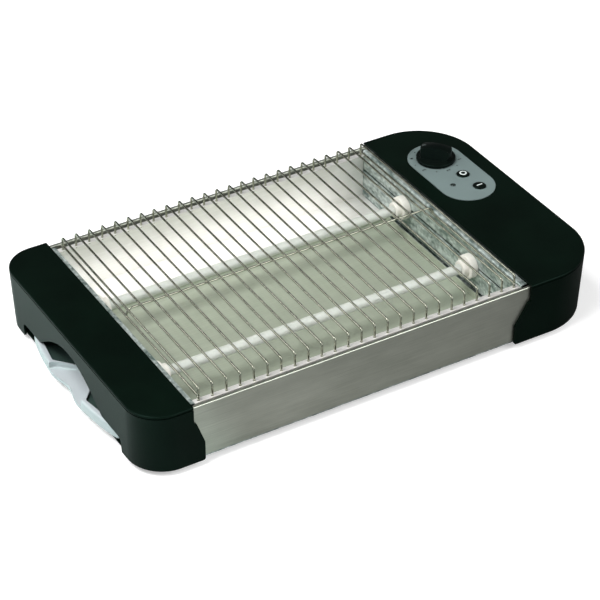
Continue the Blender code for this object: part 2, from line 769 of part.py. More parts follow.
def build_right_cap(build, material):
    """The right end cap, with its panel recess, control holes and board posts."""
    cap = add_cap_shell(build, "right_end_cap", RIGHT, RIGHT_CAP_WIDTH, RIGHT_CORNER_RADIUS,
                        RIGHT_FLARE, material)
    recess_floor = PANEL_TOP - PANEL_THICKNESS - SEAT_GAP
    build.cut(cap, prism([stadium(SEAT_GAP)], recess_floor, CAP_TOP + CUT_OVERRUN), "panel_recess")
    low = CAP_UNDERSIDE - CUT_OVERRUN
    high = CAP_TOP + CUT_OVERRUN
    build.cut(cap, cylinder(BUSH_RADIUS + SEAT_GAP, low, high, knob_centre()), "knob_hole")
    for name, place in button_places().items():
        build.cut(cap, cylinder(BUTTON_RADIUS + SEAT_GAP, low, high, place), name + "_hole")
    build.cut(cap, cylinder(LENS_FLANGE_RADIUS + SEAT_GAP, low, high, lens_place()), "lens_hole")
    for name, (x, y) in board_holes().items():
        stud = cylinder(SCREW_POST_RADIUS, BOARD_TOP + SEAT_GAP, CAP_UNDERSIDE + STUD_SINK,
                        (x, y), steps=SMALL_TURN_STEPS)
        build.join(cap, stud, name + "_post")
        hole = cylinder(SCREW_SHANK_RADIUS + SEAT_GAP, BOARD_BOTTOM, BOARD_BOTTOM + SCREW_LENGTH,
                        (x, y), steps=SMALL_TURN_STEPS)
        build.cut(cap, hole, name + "_hole")
    gland_x, gland_z = gland_place()
    build.cut(cap, cylinder(GLAND_RADIUS + SEAT_GAP, CAP_HALF_DEPTH - CUT_OVERRUN,
                            CAP_HALF_DEPTH + CUT_OVERRUN, (gland_x, gland_z), "Y"), "gland_hole")
    add_posts(build, cap, "right")


def gland_place():
    """The X and Z of the cable gland, on the flat stretch of the right cap's rear wall."""
    flat_end = edge_x(RIGHT) + RIGHT_CAP_WIDTH - RIGHT_CORNER_RADIUS
    return flat_end - GLAND_CORNER_GAP - GLAND_FLANGE_RADIUS, FOOT_HEIGHT + GLAND_HEIGHT


def build_steel_walls(build, material):
    """The brushed steel sides: folded in and down at the top, hemmed in at the bottom."""
    half = CHAMBER_HALF + STEEL_OVERLAP
    for end, name in ((FRONT, "front_wall"), (REAR, "rear_wall")):
        outer = STEEL_DEPTH / 2
        inner = outer - SHEET
        flange = outer - STEEL_FLANGE
        hem = outer - STEEL_HEM
        turn_down = STEEL_TOP - FLANGE_TURN_DOWN
        corners = [(outer, STEEL_BOTTOM, SHEET), (outer, STEEL_TOP, SHEET),
                   (flange, STEEL_TOP, SHEET), (flange, turn_down, 0),
                   (flange + SHEET, turn_down, 0), (flange + SHEET, STEEL_TOP - SHEET, 0),
                   (inner, STEEL_TOP - SHEET, 0),
                   (inner, STEEL_BOTTOM + SHEET, 0), (hem, STEEL_BOTTOM + SHEET, 0),
                   (hem, STEEL_BOTTOM, 0)]
        outline = rounded_outline([(end * y, z, r) for y, z, r in corners], FILLET_STEPS)
        build.piece(name, prism([outline], CHAMBER_X - half, CHAMBER_X + half, "YZ"), material)


def build_base(build, steel, plastic):
    """The steel base under the chamber, and the moulded bottom covers under the caps."""
    join_x = SCREW_POST_OFFSET + POST_RADIUS
    low_x = edge_x(LEFT) - join_x
    high_x = edge_x(RIGHT) + join_x
    half_y = STEEL_DEPTH / 2 - SHEET - SEAT_GAP
    outline = [(low_x, -half_y), (high_x, -half_y), (high_x, half_y), (low_x, half_y)]
    holes = [circle(place, SCREW_SHANK_RADIUS + SEAT_GAP) for place in screw_places().values()]
    base = build.piece("base_plate", prism([outline] + holes, COVER_BOTTOM, COVER_TOP), steel)
    rib_top = TRAY_BOTTOM - SEAT_GAP
    for end, name in ((FRONT, "front_rib"), (REAR, "rear_rib")):
        low_y = end * BASE_RIB_Y - BASE_RIB_HALF_WIDTH
        high_y = end * BASE_RIB_Y + BASE_RIB_HALF_WIDTH
        crest = BASE_RIB_HALF_WIDTH / 2
        outline = [(low_y, COVER_TOP - COVER_THICKNESS / 2), (high_y, COVER_TOP - COVER_THICKNESS / 2),
                   (high_y - crest, rib_top), (low_y + crest, rib_top)]
        build.join(base, prism([outline], low_x + CUT_OVERRUN, high_x - CUT_OVERRUN, "YZ"), name)
    for side, name, width, radius in ((LEFT, "left_bottom_cover", LEFT_CAP_WIDTH, LEFT_CORNER_RADIUS),
                                      (RIGHT, "right_bottom_cover", RIGHT_CAP_WIDTH,
                                       RIGHT_CORNER_RADIUS)):
        inset = CAP_WALL + SEAT_GAP
        plan = cap_ring(side, width, radius + CORNER_GROWTH, 0.0, inset + CAP_DRAFT, inset)
        outline = trimmed([(x, y) for x, y, height in plan], side,
                          edge_x(side) + side * (join_x + SEAT_GAP))
        holes = [circle(place, FOOT_STEM_RADIUS + SEAT_GAP)
                 for foot, place in foot_places().items() if name.split("_")[0] in foot]
        build.piece(name, prism([outline] + holes, COVER_BOTTOM, COVER_TOP), plastic)


def build_feet(build, material):
    """Four rubber feet, each with a stem that plugs up into its post."""
    top = COVER_BOTTOM - SEAT_GAP
    for name, (x, y) in foot_places().items():
        profile = [(0.0, COVER_TOP + FOOT_STEM_LENGTH - SEAT_GAP),
                   (FOOT_STEM_RADIUS, COVER_TOP + FOOT_STEM_LENGTH - SEAT_GAP),
                   (FOOT_STEM_RADIUS, top), (FOOT_RADIUS, top),
                   (FOOT_RADIUS - FOOT_EDGE / 2, FOOT_EDGE), (FOOT_RADIUS - FOOT_EDGE, 0.0),
                   (0.0, 0.0)]
        build.turned(name, profile, material, (x, y, 0.0), steps=TURN_STEPS)


def add_screw_piece(build, name, place, seat, material):
    """A pan-head screw driven upwards, its head under the seat."""
    head_low = seat - SEAT_GAP - SCREW_HEAD_HEIGHT
    tip = seat + SCREW_LENGTH - SCREW_TIP_GAP
    profile = [(0.0, tip), (SCREW_SHANK_RADIUS, tip - SCREW_SHANK_RADIUS),
               (SCREW_SHANK_RADIUS, seat - SEAT_GAP), (SCREW_HEAD_RADIUS, seat - SEAT_GAP),
               (SCREW_CROWN_RADIUS, head_low), (0.0, head_low)]
    return build.turned(name, profile, material, (place[0], place[1], 0.0), steps=SMALL_TURN_STEPS)


def build_screws(build, material):
    """The base screws and the board screws."""
    for name, place in screw_places().items():
        add_screw_piece(build, name, place, COVER_BOTTOM, material)
    for name, place in board_holes().items():
        add_screw_piece(build, name, place, BOARD_BOTTOM, material)


def wire_positions():
    """The X of each rack wire."""
    first = -(WIRE_COUNT - 1) / 2
    return [CHAMBER_X + (first + index) * WIRE_PITCH for index in range(WIRE_COUNT)]


def build_reflectors(build, material):
    """The bright inner sheets at front and back: lip, wall, floor and tray channel."""
    half = PLATE_OFFSET - END_PLATE_SHEET - SEAT_GAP
    for end, name in ((FRONT, "front_reflector"), (REAR, "rear_reflector")):
        wall = REFLECTOR_Y
        lip = wall - REFLECTOR_LIP
        channel = TRAY_CHANNEL_HALF_WIDTH
        foot = COVER_TOP + SEAT_GAP
        sheet = REFLECTOR_SHEET
        corners = [(lip, LIP_TOP), (lip, LIP_TOP - sheet), (wall - sheet, LIP_TOP - sheet),
                   (wall - sheet, REFLECTOR_FLOOR), (channel, REFLECTOR_FLOOR), (channel, foot),
                   (channel + sheet, foot), (channel + sheet, REFLECTOR_FLOOR - sheet),
                   (wall, REFLECTOR_FLOOR - sheet), (wall, LIP_TOP)]
        outline = [(end * y, z) for y, z in corners]
        sheet_mesh = prism([outline], CHAMBER_X - half, CHAMBER_X + half, "YZ")
        reflector = build.piece(name, sheet_mesh, material)
        holes = leg_holes(end)
        build.cut(reflector, holes, "leg_holes")


def leg_holes(end):
    """One cutter for the row of holes that the rack's legs go through."""
    shape = bmesh.new()
    radius = (WIRE_RADIUS + SEAT_GAP) / math.cos(math.pi / WIRE_HOLE_STEPS)
    for x in wire_positions():
        place = Vector((x, end * RACK_HALF_DEPTH, LIP_TOP))
        bmesh.ops.create_cone(shape, cap_ends=True, segments=WIRE_HOLE_STEPS, radius1=radius,
                              radius2=radius, depth=LEG_HOLE_DEPTH,
                              matrix=Matrix.Translation(place))
    mesh = bpy.data.meshes.new("leg_holes")
    shape.to_mesh(mesh)
    shape.free()
    return mesh


def build_end_plates(build, material):
    """The chamber's end walls, split at the heaters so that they clamp the ceramics."""
    half_y = REFLECTOR_Y + REFLECTOR_SHEET
    for side, side_name in ((LEFT, "left"), (RIGHT, "right")):
        outer = side * PLATE_OFFSET
        inner = side * (PLATE_OFFSET - END_PLATE_SHEET)
        low_x = CHAMBER_X + min(outer, inner)
        high_x = CHAMBER_X + max(outer, inner)
        split = TUBE_Z
        upper = build.piece(side_name + "_upper_plate",
                            box((low_x, -half_y, split + SEAT_GAP), (high_x, half_y, STEEL_TOP)),
                            material)
        reach = CHAMBER_X + side * (PLATE_OFFSET + END_PLATE_FLANGE)
        build.join(upper, box((min(low_x, reach), -half_y, STEEL_TOP - END_PLATE_SHEET),
                              (max(high_x, reach), half_y, STEEL_TOP)), "top_flange")
        foot = REFLECTOR_FLOOR + SEAT_GAP
        notch_y = TRAY_CHANNEL_HALF_WIDTH + REFLECTOR_SHEET
        notch_z = TRAY_TOP + TRAY_CLEARANCE / 2
        outline = [(-half_y, foot), (-notch_y, foot), (-notch_y, notch_z), (notch_y, notch_z),
                   (notch_y, foot), (half_y, foot), (half_y, split), (-half_y, split)]
        lower = build.piece(side_name + "_lower_plate", prism([outline], low_x, high_x, "YZ"),
                            material)
        for end, end_name in ((FRONT, "front"), (REAR, "rear")):
            neck = cylinder(CERAMIC_NECK_RADIUS + SEAT_GAP, low_x - CUT_OVERRUN,
                            high_x + CUT_OVERRUN, (end * TUBE_Y, TUBE_Z), "X")
            build.cut(upper, neck, end_name + "_ceramic_hole")
            build.cut(lower, neck.copy(), end_name + "_ceramic_hole")


def build_heaters(build, quartz, ceramic, metal):
    """Two quartz tubes with their windings, held at each end in a turned ceramic."""
    face = PLATE_OFFSET - END_PLATE_SHEET - SEAT_GAP
    disc = face - CERAMIC_DISC_LENGTH
    nose = disc - CERAMIC_NOSE_LENGTH
    tail = face + CERAMIC_NECK_LENGTH
    tube_half = nose + TUBE_SEAT
    winding_half = tube_half - TUBE_SEAT / 2
    pin_end = tail + PIN_REACH
    bore = TUBE_RADIUS + SEAT_GAP
    pin_bore = PIN_RADIUS + SEAT_GAP
    for end, end_name in ((FRONT, "front"), (REAR, "rear")):
        y = end * TUBE_Y
        place = (CHAMBER_X, y, TUBE_Z)
        tube = [(TUBE_RADIUS, tube_half), (TUBE_RADIUS, -tube_half),
                (TUBE_BORE_RADIUS, -tube_half), (TUBE_BORE_RADIUS, tube_half)]
        build.turned(end_name + "_quartz_tube", tube, quartz, place, "X", closed=True)
        winding = [(0.0, pin_end), (PIN_RADIUS, pin_end), (PIN_RADIUS, winding_half),
                   (COIL_RADIUS, winding_half), (COIL_RADIUS, -winding_half),
                   (PIN_RADIUS, -winding_half), (PIN_RADIUS, -pin_end), (0.0, -pin_end)]
        build.turned(end_name + "_heating_coil", winding, metal, place, "X",
                     steps=SMALL_TURN_STEPS)
        holder = [(CERAMIC_NECK_RADIUS, tail), (CERAMIC_NECK_RADIUS, face),
                  (CERAMIC_DISC_RADIUS, face), (CERAMIC_DISC_RADIUS, disc + CERAMIC_EDGE),
                  (CERAMIC_DISC_RADIUS - CERAMIC_EDGE, disc),
                  (CERAMIC_NOSE_RADIUS, disc), (CERAMIC_NOSE_RADIUS, nose + CERAMIC_EDGE),
                  (CERAMIC_NOSE_RADIUS - CERAMIC_EDGE, nose), (bore, nose),
                  (bore, tube_half + SEAT_GAP), (pin_bore, tube_half + SEAT_GAP), (pin_bore, tail)]
        for side, side_name, axis in ((LEFT, "left", "-X"), (RIGHT, "right", "X")):
            build.turned(end_name + "_" + side_name + "_ceramic", holder, ceramic, place, axis,
                         closed=True)
    return pin_end


def build_wiring(build, metal, insulation, pin_end):
    """The strap that joins the heaters at the left, and the two leads at the right."""
    strap_x = CHAMBER_X - pin_end + PIN_REACH / 2
    holes = [circle((end * TUBE_Y, TUBE_Z), PIN_RADIUS + SEAT_GAP) for end in (FRONT, REAR)]
    reach = TUBE_Y + STRAP_HALF_WIDTH
    corners = [(-reach, TUBE_Z - STRAP_HALF_WIDTH, STRAP_HALF_WIDTH / 2),
               (reach, TUBE_Z - STRAP_HALF_WIDTH, STRAP_HALF_WIDTH / 2),
               (reach, TUBE_Z + STRAP_HALF_WIDTH, STRAP_HALF_WIDTH / 2),
               (-reach, TUBE_Z + STRAP_HALF_WIDTH, STRAP_HALF_WIDTH / 2)]
    strap = prism([rounded_outline(corners, FILLET_STEPS)] + holes, strap_x,
                  strap_x + STRAP_THICKNESS, "YZ")
    build.piece("heater_link_strap", strap, metal)
    start_x = CHAMBER_X + pin_end + SEAT_GAP
    block_x, block_y = terminal_place()
    for end, name in ((FRONT, "front_heater_lead"), (REAR, "rear_heater_lead")):
        goal_y = block_y + end * LEAD_SPACING / 2
        goal_x = block_x - TERMINAL_SIZE_X / 2 - SEAT_GAP
        low = COVER_TOP + SEAT_GAP + TERMINAL_HEIGHT / 2
        step = LEAD_BEND
        route = [(start_x, end * TUBE_Y, TUBE_Z), (start_x + step / 2, end * TUBE_Y, TUBE_Z),
                 (start_x + step, end * TUBE_Y - end * step / 2, TUBE_Z - step / 2),
                 (start_x + step, goal_y + end * step, low + step), (start_x + step, goal_y, low),
                 (goal_x - step / 2, goal_y, low), (goal_x, goal_y, low)]
        build.piece(name, wire(route, LEAD_RADIUS), insulation)


def terminal_place():
    """The middle of the terminal block on the right bottom cover."""
    return edge_x(RIGHT) + TERMINAL_OFFSET, 0.0


def bent_run(low, high, level, bend):
    """A straight wire at a level, with a bend down at each end."""
    quarter = math.pi / 2
    start = arc_points((low + bend, level - bend), bend, math.pi, quarter, BEND_STEPS)
    return start + arc_points((high - bend, level - bend), bend, quarter, 0.0, BEND_STEPS)


def u_wire(x):
    """One rack wire: two legs and a straight top with bent shoulders."""
    foot = STEEL_TOP - LEG_DEPTH
    run = [(-RACK_HALF_DEPTH, foot)]
    run += bent_run(-RACK_HALF_DEPTH, RACK_HALF_DEPTH, RACK_TOP, WIRE_BEND_RADIUS)
    run.append((RACK_HALF_DEPTH, foot))
    return wire([(x, y, z) for y, z in run], WIRE_RADIUS)


def merged(meshes):
    """Puts several meshes into one, left as separate shapes."""
    shape = bmesh.new()
    for mesh in meshes:
        shape.from_mesh(mesh)
    result = bpy.data.meshes.new("merged")
    shape.to_mesh(result)
    shape.free()
    return result


def build_rack(build, material):
    """The toast rack: bent wires welded to a cross wire and two side wires."""
    positions = wire_positions()
    rack = build.piece("toast_rack", merged([u_wire(x) for x in positions]), material)
    side_z = STEEL_TOP + SIDE_WIRE_RISE + WIRE_RADIUS
    reach = RACK_HALF_DEPTH + WIRE_RADIUS / 2
    cross_z = RACK_TOP - 2 * WIRE_RADIUS + WELD_SINK
    cross_y = WIRE_RADIUS * 2
    side_xs = (positions[0], positions[-1])
    side_wires = [wire([(x, -reach, side_z), (x, reach, side_z)], WIRE_RADIUS) for x in side_xs]
    build.join(rack, merged(side_wires), "side_wires")
    first, last = side_xs
    foot = side_z - WIRE_RADIUS / 2
    run = [(first, foot)] + bent_run(first, last, cross_z, CROSS_WIRE_BEND) + [(last, foot)]
    route = [(x, cross_y, z) for x, z in run]
    build.join(rack, wire(route, WIRE_RADIUS), "cross_wire")


def handle_outer_x(y):
    """The handle's bowed outer edge at a place across it, with its drawn-in waist."""
    end_share = min(1.0, abs(y) / HANDLE_HALF_WIDTH)
    bow = HANDLE_LOBE * (1 - end_share ** 2) ** HANDLE_BOW_POWER
    waist = 0.0
    if abs(y) < HANDLE_WAIST_HALF_WIDTH:
        waist = HANDLE_WAIST * math.cos(math.pi / 2 * abs(y) / HANDLE_WAIST_HALF_WIDTH) ** 2
    return LEFT_WALL_X - HANDLE_OVERHANG + HANDLE_LOBE - bow + waist


def tray_front_x():
    """The outside of the tray's front wall, behind the handle."""
    return LEFT_WALL_X + HANDLE_LOBE - HANDLE_OVERHANG + HANDLE_DEPTH


def handle_outline():
    """The handle seen from above."""
    steps = ARCH_STEPS
    back = tray_front_x() - SEAT_GAP
    points = []
    for index in range(steps + 1):
        y = HANDLE_HALF_WIDTH - 2 * HANDLE_HALF_WIDTH * index / steps
        points.append((handle_outer_x(y), y))
    points.append((back, -HANDLE_HALF_WIDTH))
    points.append((back, HANDLE_HALF_WIDTH))
    return points


def finger_well(end):
    """The outline of one of the two finger wells beside the handle's web."""
    front = LEFT_WALL_X - HANDLE_OVERHANG + HANDLE_BAR
    back = tray_front_x() - SEAT_GAP - HANDLE_BACK_BAR
    tip = handle_outer_x(HOLE_END_Y) + HANDLE_TIP_BAR
    corners = [(front, end * WEB_FOOT_HALF_WIDTH, HOLE_CORNER_RADIUS / 2),
               (back, end * WEB_HALF_WIDTH, HOLE_CORNER_RADIUS),
               (back, end * HOLE_END_Y, HOLE_CORNER_RADIUS),
               (tip, end * HOLE_END_Y, HOLE_CORNER_RADIUS)]
    return rounded_outline(corners, FILLET_STEPS)


def thumb_dish():
    """The dish between the finger wells, open to the outside, its floor rising inwards."""
    front = LEFT_WALL_X - HANDLE_OVERHANG - CUT_OVERRUN
    foot = LEFT_WALL_X - HANDLE_OVERHANG + HANDLE_BAR
    back = tray_front_x() - SEAT_GAP - HANDLE_BACK_BAR
    near = WEB_FOOT_HALF_WIDTH - DISH_BAND
    far = WEB_HALF_WIDTH - DISH_BAND
    outline = [(front, -near), (foot, -near), (back, -far), (back, far), (foot, near),
               (front, near)]
    floor = TRAY_BOTTOM + DISH_FLOOR
    mesh = prism([outline], floor, TRAY_BOTTOM + HANDLE_THICKNESS + CUT_OVERRUN)
    for vert in mesh.vertices:
        if abs(vert.co.z - floor) < MERGE_DISTANCE:
            vert.co.z += DISH_RISE * (vert.co.x - front) / (back - front)
    return mesh


def build_tray(build, steel, plastic):
    """The crumb tray and the handle on its front."""
    front = tray_front_x()
    back = CHAMBER_X + PLATE_OFFSET - TRAY_END_GAP
    half = TRAY_CHANNEL_HALF_WIDTH - TRAY_CLEARANCE
    tray = build.piece("crumb_tray", box((front, -half, TRAY_BOTTOM), (back, half, TRAY_TOP)),
                       steel)
    inside = box((front + TRAY_SHEET, -half + TRAY_SHEET, TRAY_BOTTOM + TRAY_SHEET),
                 (back - TRAY_SHEET, half - TRAY_SHEET, TRAY_TOP + CUT_OVERRUN))
    build.cut(tray, inside, "inside")
    top = TRAY_BOTTOM + HANDLE_THICKNESS
    handle = build.piece("tray_handle", prism([handle_outline()], TRAY_BOTTOM, top), plastic)
    for end, name in ((FRONT, "front_well"), (REAR, "rear_well")):
        well = prism([finger_well(end)], TRAY_BOTTOM + WELL_FLOOR, top + CUT_OVERRUN)
        build.cut(handle, well, name)
    build.cut(handle, thumb_dish(), "dish")
    add_bevel(handle, HANDLE_BEVEL)
    return tray, handle


def build_panel(build, material):
    """The control panel plate in its recess."""
    knob_hole = circle(knob_centre(), BUSH_RADIUS + SEAT_GAP)
    holes = [circle(place, BUTTON_RADIUS + SEAT_GAP) for place in button_places().values()]
    lens_hole = circle(lens_place(), LENS_RADIUS + SEAT_GAP)
    mesh = prism([stadium(0.0), knob_hole, lens_hole] + holes, PANEL_TOP - PANEL_THICKNESS,
                 PANEL_TOP)
    build.piece("control_panel", mesh, material)


def build_knob(build, plastic, metal):
    """The timer knob: a skirt, a drum and a grip bar left between two scooped sides."""
    x, y = knob_centre()
    base = PANEL_TOP + SEAT_GAP
    angle = math.radians(KNOB_POINTER_DEGREES)
    top = KNOB_HEIGHT
    ease = KNOB_EDGE_ROUND
    profile = [(0.0, top), (KNOB_BODY_RADIUS - ease, top), (KNOB_BODY_RADIUS, top - ease),
               (KNOB_BODY_RADIUS + ease / 2, KNOB_SKIRT_HEIGHT + ease),
               (KNOB_RADIUS - ease / 2, KNOB_SKIRT_HEIGHT), (KNOB_RADIUS, 0.0), (0.0, 0.0)]
    knob = build.turned("timer_knob", profile, plastic, (x, y, base), steps=TURN_STEPS * 2,
                        angle=angle)
    for side in (FRONT, REAR):
        centre_y = side * (KNOB_BAR_HALF_WIDTH + KNOB_SCOOP_RADIUS)
        centre_z = KNOB_SCOOP_FLOOR + KNOB_SCOOP_RADIUS
        scoop = cylinder(KNOB_SCOOP_RADIUS, -KNOB_RADIUS * 2, KNOB_RADIUS * 2,
                         (centre_y, centre_z), "X", TURN_STEPS * 2)
        helper = build.cut(knob, scoop, "front_scoop" if side == FRONT else "rear_scoop")
        helper.location = (x, y, base)
        helper.rotation_euler = (0.0, 0.0, angle)
    bore = cylinder(SHAFT_RADIUS + SEAT_GAP, -CUT_OVERRUN, SHAFT_SEAT, (0.0, 0.0),
                    steps=SMALL_TURN_STEPS)
    build.cut(knob, bore, "shaft_bore").location = (x, y, base)
    bush = cylinder(BUSH_RADIUS + SEAT_GAP * 2, -CUT_OVERRUN, PANEL_THICKNESS, (0.0, 0.0))
    build.cut(knob, bush, "bush_relief").location = (x, y, base)
    shaft_low = BOARD_TOP + SEAT_GAP * 2 + POT_HEIGHT / 2
    shaft_high = base + SHAFT_SEAT - SEAT_GAP
    shaft = [(0.0, shaft_high), (SHAFT_RADIUS, shaft_high), (SHAFT_RADIUS, shaft_low),
             (0.0, shaft_low)]
    build.turned("knob_shaft", shaft, metal, (x, y, 0.0), steps=SMALL_TURN_STEPS)


def build_buttons(build, plastic, lens_material):
    """The stop and start buttons, and the indicator lens."""
    flange_top = CAP_UNDERSIDE - SEAT_GAP
    top = PANEL_TOP + BUTTON_PROUD
    tip = BOARD_TOP + SEAT_GAP * 2 + SWITCH_HEIGHT + BUTTON_TRAVEL
    for name, (x, y) in button_places().items():
        profile = [(0.0, top), (BUTTON_RADIUS / 2, top - BUTTON_CROWN / 4),
                   (BUTTON_RADIUS - BUTTON_CROWN, top - BUTTON_CROWN),
                   (BUTTON_RADIUS, top - 2 * BUTTON_CROWN), (BUTTON_RADIUS, flange_top),
                   (BUTTON_FLANGE_RADIUS, flange_top),
                   (BUTTON_FLANGE_RADIUS, flange_top - BUTTON_FLANGE_HEIGHT),
                   (BUTTON_STEM_RADIUS, flange_top - BUTTON_FLANGE_HEIGHT),
                   (BUTTON_STEM_RADIUS, tip), (0.0, tip)]
        build.turned(name, profile, plastic, (x, y, 0.0))
    x, y = lens_place()
    flange = PANEL_TOP - PANEL_THICKNESS - SEAT_GAP
    low = CAP_UNDERSIDE
    profile = [(0.0, PANEL_TOP + LENS_CROWN), (LENS_CROWN_RADIUS, PANEL_TOP + LENS_SHOULDER),
               (LENS_RADIUS, PANEL_TOP), (LENS_RADIUS, flange), (LENS_FLANGE_RADIUS, flange),
               (LENS_FLANGE_RADIUS, low), (0.0, low)]
    build.turned("indicator_lens", profile, lens_material, (x, y, 0.0), steps=SMALL_TURN_STEPS)


def build_electronics(build, board_material, plastic, metal, white):
    """The control board in the right cap and what it carries."""
    x, y = panel_centre()
    half_x = BOARD_WIDTH / 2
    half_y = BOARD_LENGTH / 2
    outline = [(x - half_x, y - half_y), (x + half_x - BOARD_HOLE_INSET, y - half_y),
               (x + half_x, y - half_y + BOARD_HOLE_INSET), (x + half_x, y + half_y),
               (x - half_x, y + half_y)]
    holes = [circle(place, SCREW_SHANK_RADIUS + SEAT_GAP) for place in board_holes().values()]
    build.piece("control_board", prism([outline] + holes, BOARD_BOTTOM, BOARD_TOP),
                board_material)
    seat = BOARD_TOP + SEAT_GAP
    knob_x, knob_y = knob_centre()
    pot = build.piece("timer_potentiometer",
                      box((knob_x - POT_HALF_WIDTH, knob_y - POT_HALF_WIDTH, seat),
                          (knob_x + POT_HALF_WIDTH, knob_y + POT_HALF_WIDTH, seat + POT_HEIGHT)),
                      metal)
    build.join(pot, cylinder(BUSH_RADIUS, seat + POT_HEIGHT / 2, PANEL_TOP + PANEL_THICKNESS / 2,
                             (knob_x, knob_y)), "bush")
    build.cut(pot, cylinder(SHAFT_RADIUS + SEAT_GAP, seat + POT_HEIGHT / 2 - SEAT_GAP,
                            PANEL_TOP + CUT_OVERRUN, (knob_x, knob_y), steps=SMALL_TURN_STEPS),
              "bore")
    for name, (place_x, place_y) in button_places().items():
        half = SWITCH_HALF_WIDTH
        build.piece(name.replace("button", "switch"),
                    box((place_x - half, place_y - half, seat),
                        (place_x + half, place_y + half, seat + SWITCH_HEIGHT)), metal)
    lens_x, lens_y = lens_place()
    lamp_top = CAP_UNDERSIDE - SEAT_GAP
    profile = [(0.0, lamp_top), (LAMP_CROWN_RADIUS, lamp_top - LAMP_CROWN),
               (LAMP_RADIUS, lamp_top - LAMP_RADIUS), (LAMP_RADIUS, seat), (0.0, seat)]
    build.turned("indicator_lamp", profile, white, (lens_x, lens_y, 0.0), steps=SMALL_TURN_STEPS)
    top = BOARD_BOTTOM - SEAT_GAP
    relay_y = y - half_y + RELAY_INSET
    build.piece("relay", box((x, relay_y, top - RELAY_HEIGHT),
                             (x + RELAY_SIZE_X, relay_y + RELAY_SIZE_Y, top)), plastic)
    core_x = x - TRANSFORMER_SIZE_X / 2
    transformer = build.piece("transformer",
                              box((core_x, y, top - TRANSFORMER_HEIGHT),
                                  (core_x + TRANSFORMER_SIZE_X, y + TRANSFORMER_SIZE_Y, top)),
                              metal)
    limb = TRANSFORMER_LIMB
    window = box((core_x + limb, y - CUT_OVERRUN, top - TRANSFORMER_HEIGHT + TRANSFORMER_YOKE),
                 (core_x + TRANSFORMER_SIZE_X - limb, y + limb, top - TRANSFORMER_YOKE))
    build.cut(transformer, window, "winding_window")


def build_mains(build, plastic, white):
    """The terminal block, and the flush gland for a mains cord, its flange inside the wall."""
    x, y = terminal_place()
    seat = COVER_TOP + SEAT_GAP
    block = build.piece("terminal_block",
                        box((x - TERMINAL_SIZE_X / 2, y - TERMINAL_SIZE_Y / 2, seat),
                            (x + TERMINAL_SIZE_X / 2, y + TERMINAL_SIZE_Y / 2,
                             seat + TERMINAL_HEIGHT)), white)
    groove = TERMINAL_GROOVE / 2
    build.cut(block, box((x - TERMINAL_SIZE_X, y - groove, seat + TERMINAL_HEIGHT / 2),
                         (x + TERMINAL_SIZE_X, y + groove, seat + TERMINAL_HEIGHT + CUT_OVERRUN)),
              "barrier")
    gland_x, gland_z = gland_place()
    seat_y = -CAP_WALL - SEAT_GAP
    profile = [(GLAND_BORE_RADIUS + GLAND_EDGE, -SEAT_GAP), (GLAND_RADIUS, -SEAT_GAP),
               (GLAND_RADIUS, seat_y), (GLAND_FLANGE_RADIUS, seat_y),
               (GLAND_FLANGE_RADIUS, seat_y - GLAND_FLANGE), (GLAND_RADIUS, seat_y - GLAND_FLANGE),
               (GLAND_RADIUS, -GLAND_LENGTH), (GLAND_BORE_RADIUS, -GLAND_LENGTH),
               (GLAND_BORE_RADIUS, -SEAT_GAP - GLAND_EDGE)]
    build.turned("cable_gland", profile, plastic, (gland_x, CAP_HALF_DEPTH, gland_z), "Y",
                 steps=SMALL_TURN_STEPS, closed=True)


def main():
    """Builds the toaster, one group of pieces at a time."""
    clear_scene()
    build = Builder()
    black = make_material("black_abs", (0.012, 0.026, 0.022), 0.42)
    soft_black = make_material("black_rubber", (0.012, 0.012, 0.012), 0.75)
    brushed = make_material("brushed_steel", (0.33, 0.32, 0.29), 0.38, 1.0)
    bright = make_material("tinplate", (0.78, 0.78, 0.75), 0.22, 1.0)
    galvanised = make_material("galvanised_steel", (0.52, 0.57, 0.60), 0.45, 1.0)
    chrome = make_material("chromed_wire", (0.62, 0.62, 0.60), 0.15, 1.0)
    quartz = make_material("milky_quartz", (0.62, 0.63, 0.60), 0.25)
    ceramic = make_material("steatite_ceramic", (0.80, 0.79, 0.74), 0.50)
    panel_grey = make_material("panel_grey", (0.22, 0.25, 0.25), 0.45)
    handle_grey = make_material("handle_grey", (0.50, 0.57, 0.60), 0.38)
    board_green = make_material("board_green", (0.02, 0.12, 0.05), 0.45)
    white = make_material("white_nylon", (0.70, 0.70, 0.66), 0.55)
    lens = make_material("indicator_lens", (0.05, 0.01, 0.01), 0.15)
    plated = make_material("nickel_plate", (0.55, 0.53, 0.48), 0.35, 1.0)

    build_left_cap(build, black)
    build_right_cap(build, black)
    build_steel_walls(build, brushed)
    build_base(build, galvanised, black)
    build_feet(build, soft_black)
    build_screws(build, plated)
    build_reflectors(build, bright)
    build_end_plates(build, galvanised)
    pin_end = build_heaters(build, quartz, ceramic, plated)
    build_wiring(build, plated, white, pin_end)
    build_rack(build, chrome)
    build_tray(build, bright, handle_grey)
    build_panel(build, panel_grey)
    build_knob(build, black, plated)
    build_buttons(build, black, lens)
    build_electronics(build, board_green, black, plated, white)
    build_mains(build, black, white)


main()
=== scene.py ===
"""Flat bread toaster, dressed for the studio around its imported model.

Each sub-assembly is a class that holds its sizes in metres, builds its pieces and gives them
their finishes. X runs along the toaster towards the controls, Y to the back and Z up.
"""

import logging
import math
from dataclasses import dataclass
from enum import Enum, IntEnum
from typing import Any, Callable, Iterable, Sequence

import bmesh
import bpy
from mathutils import Euler, Matrix, Vector


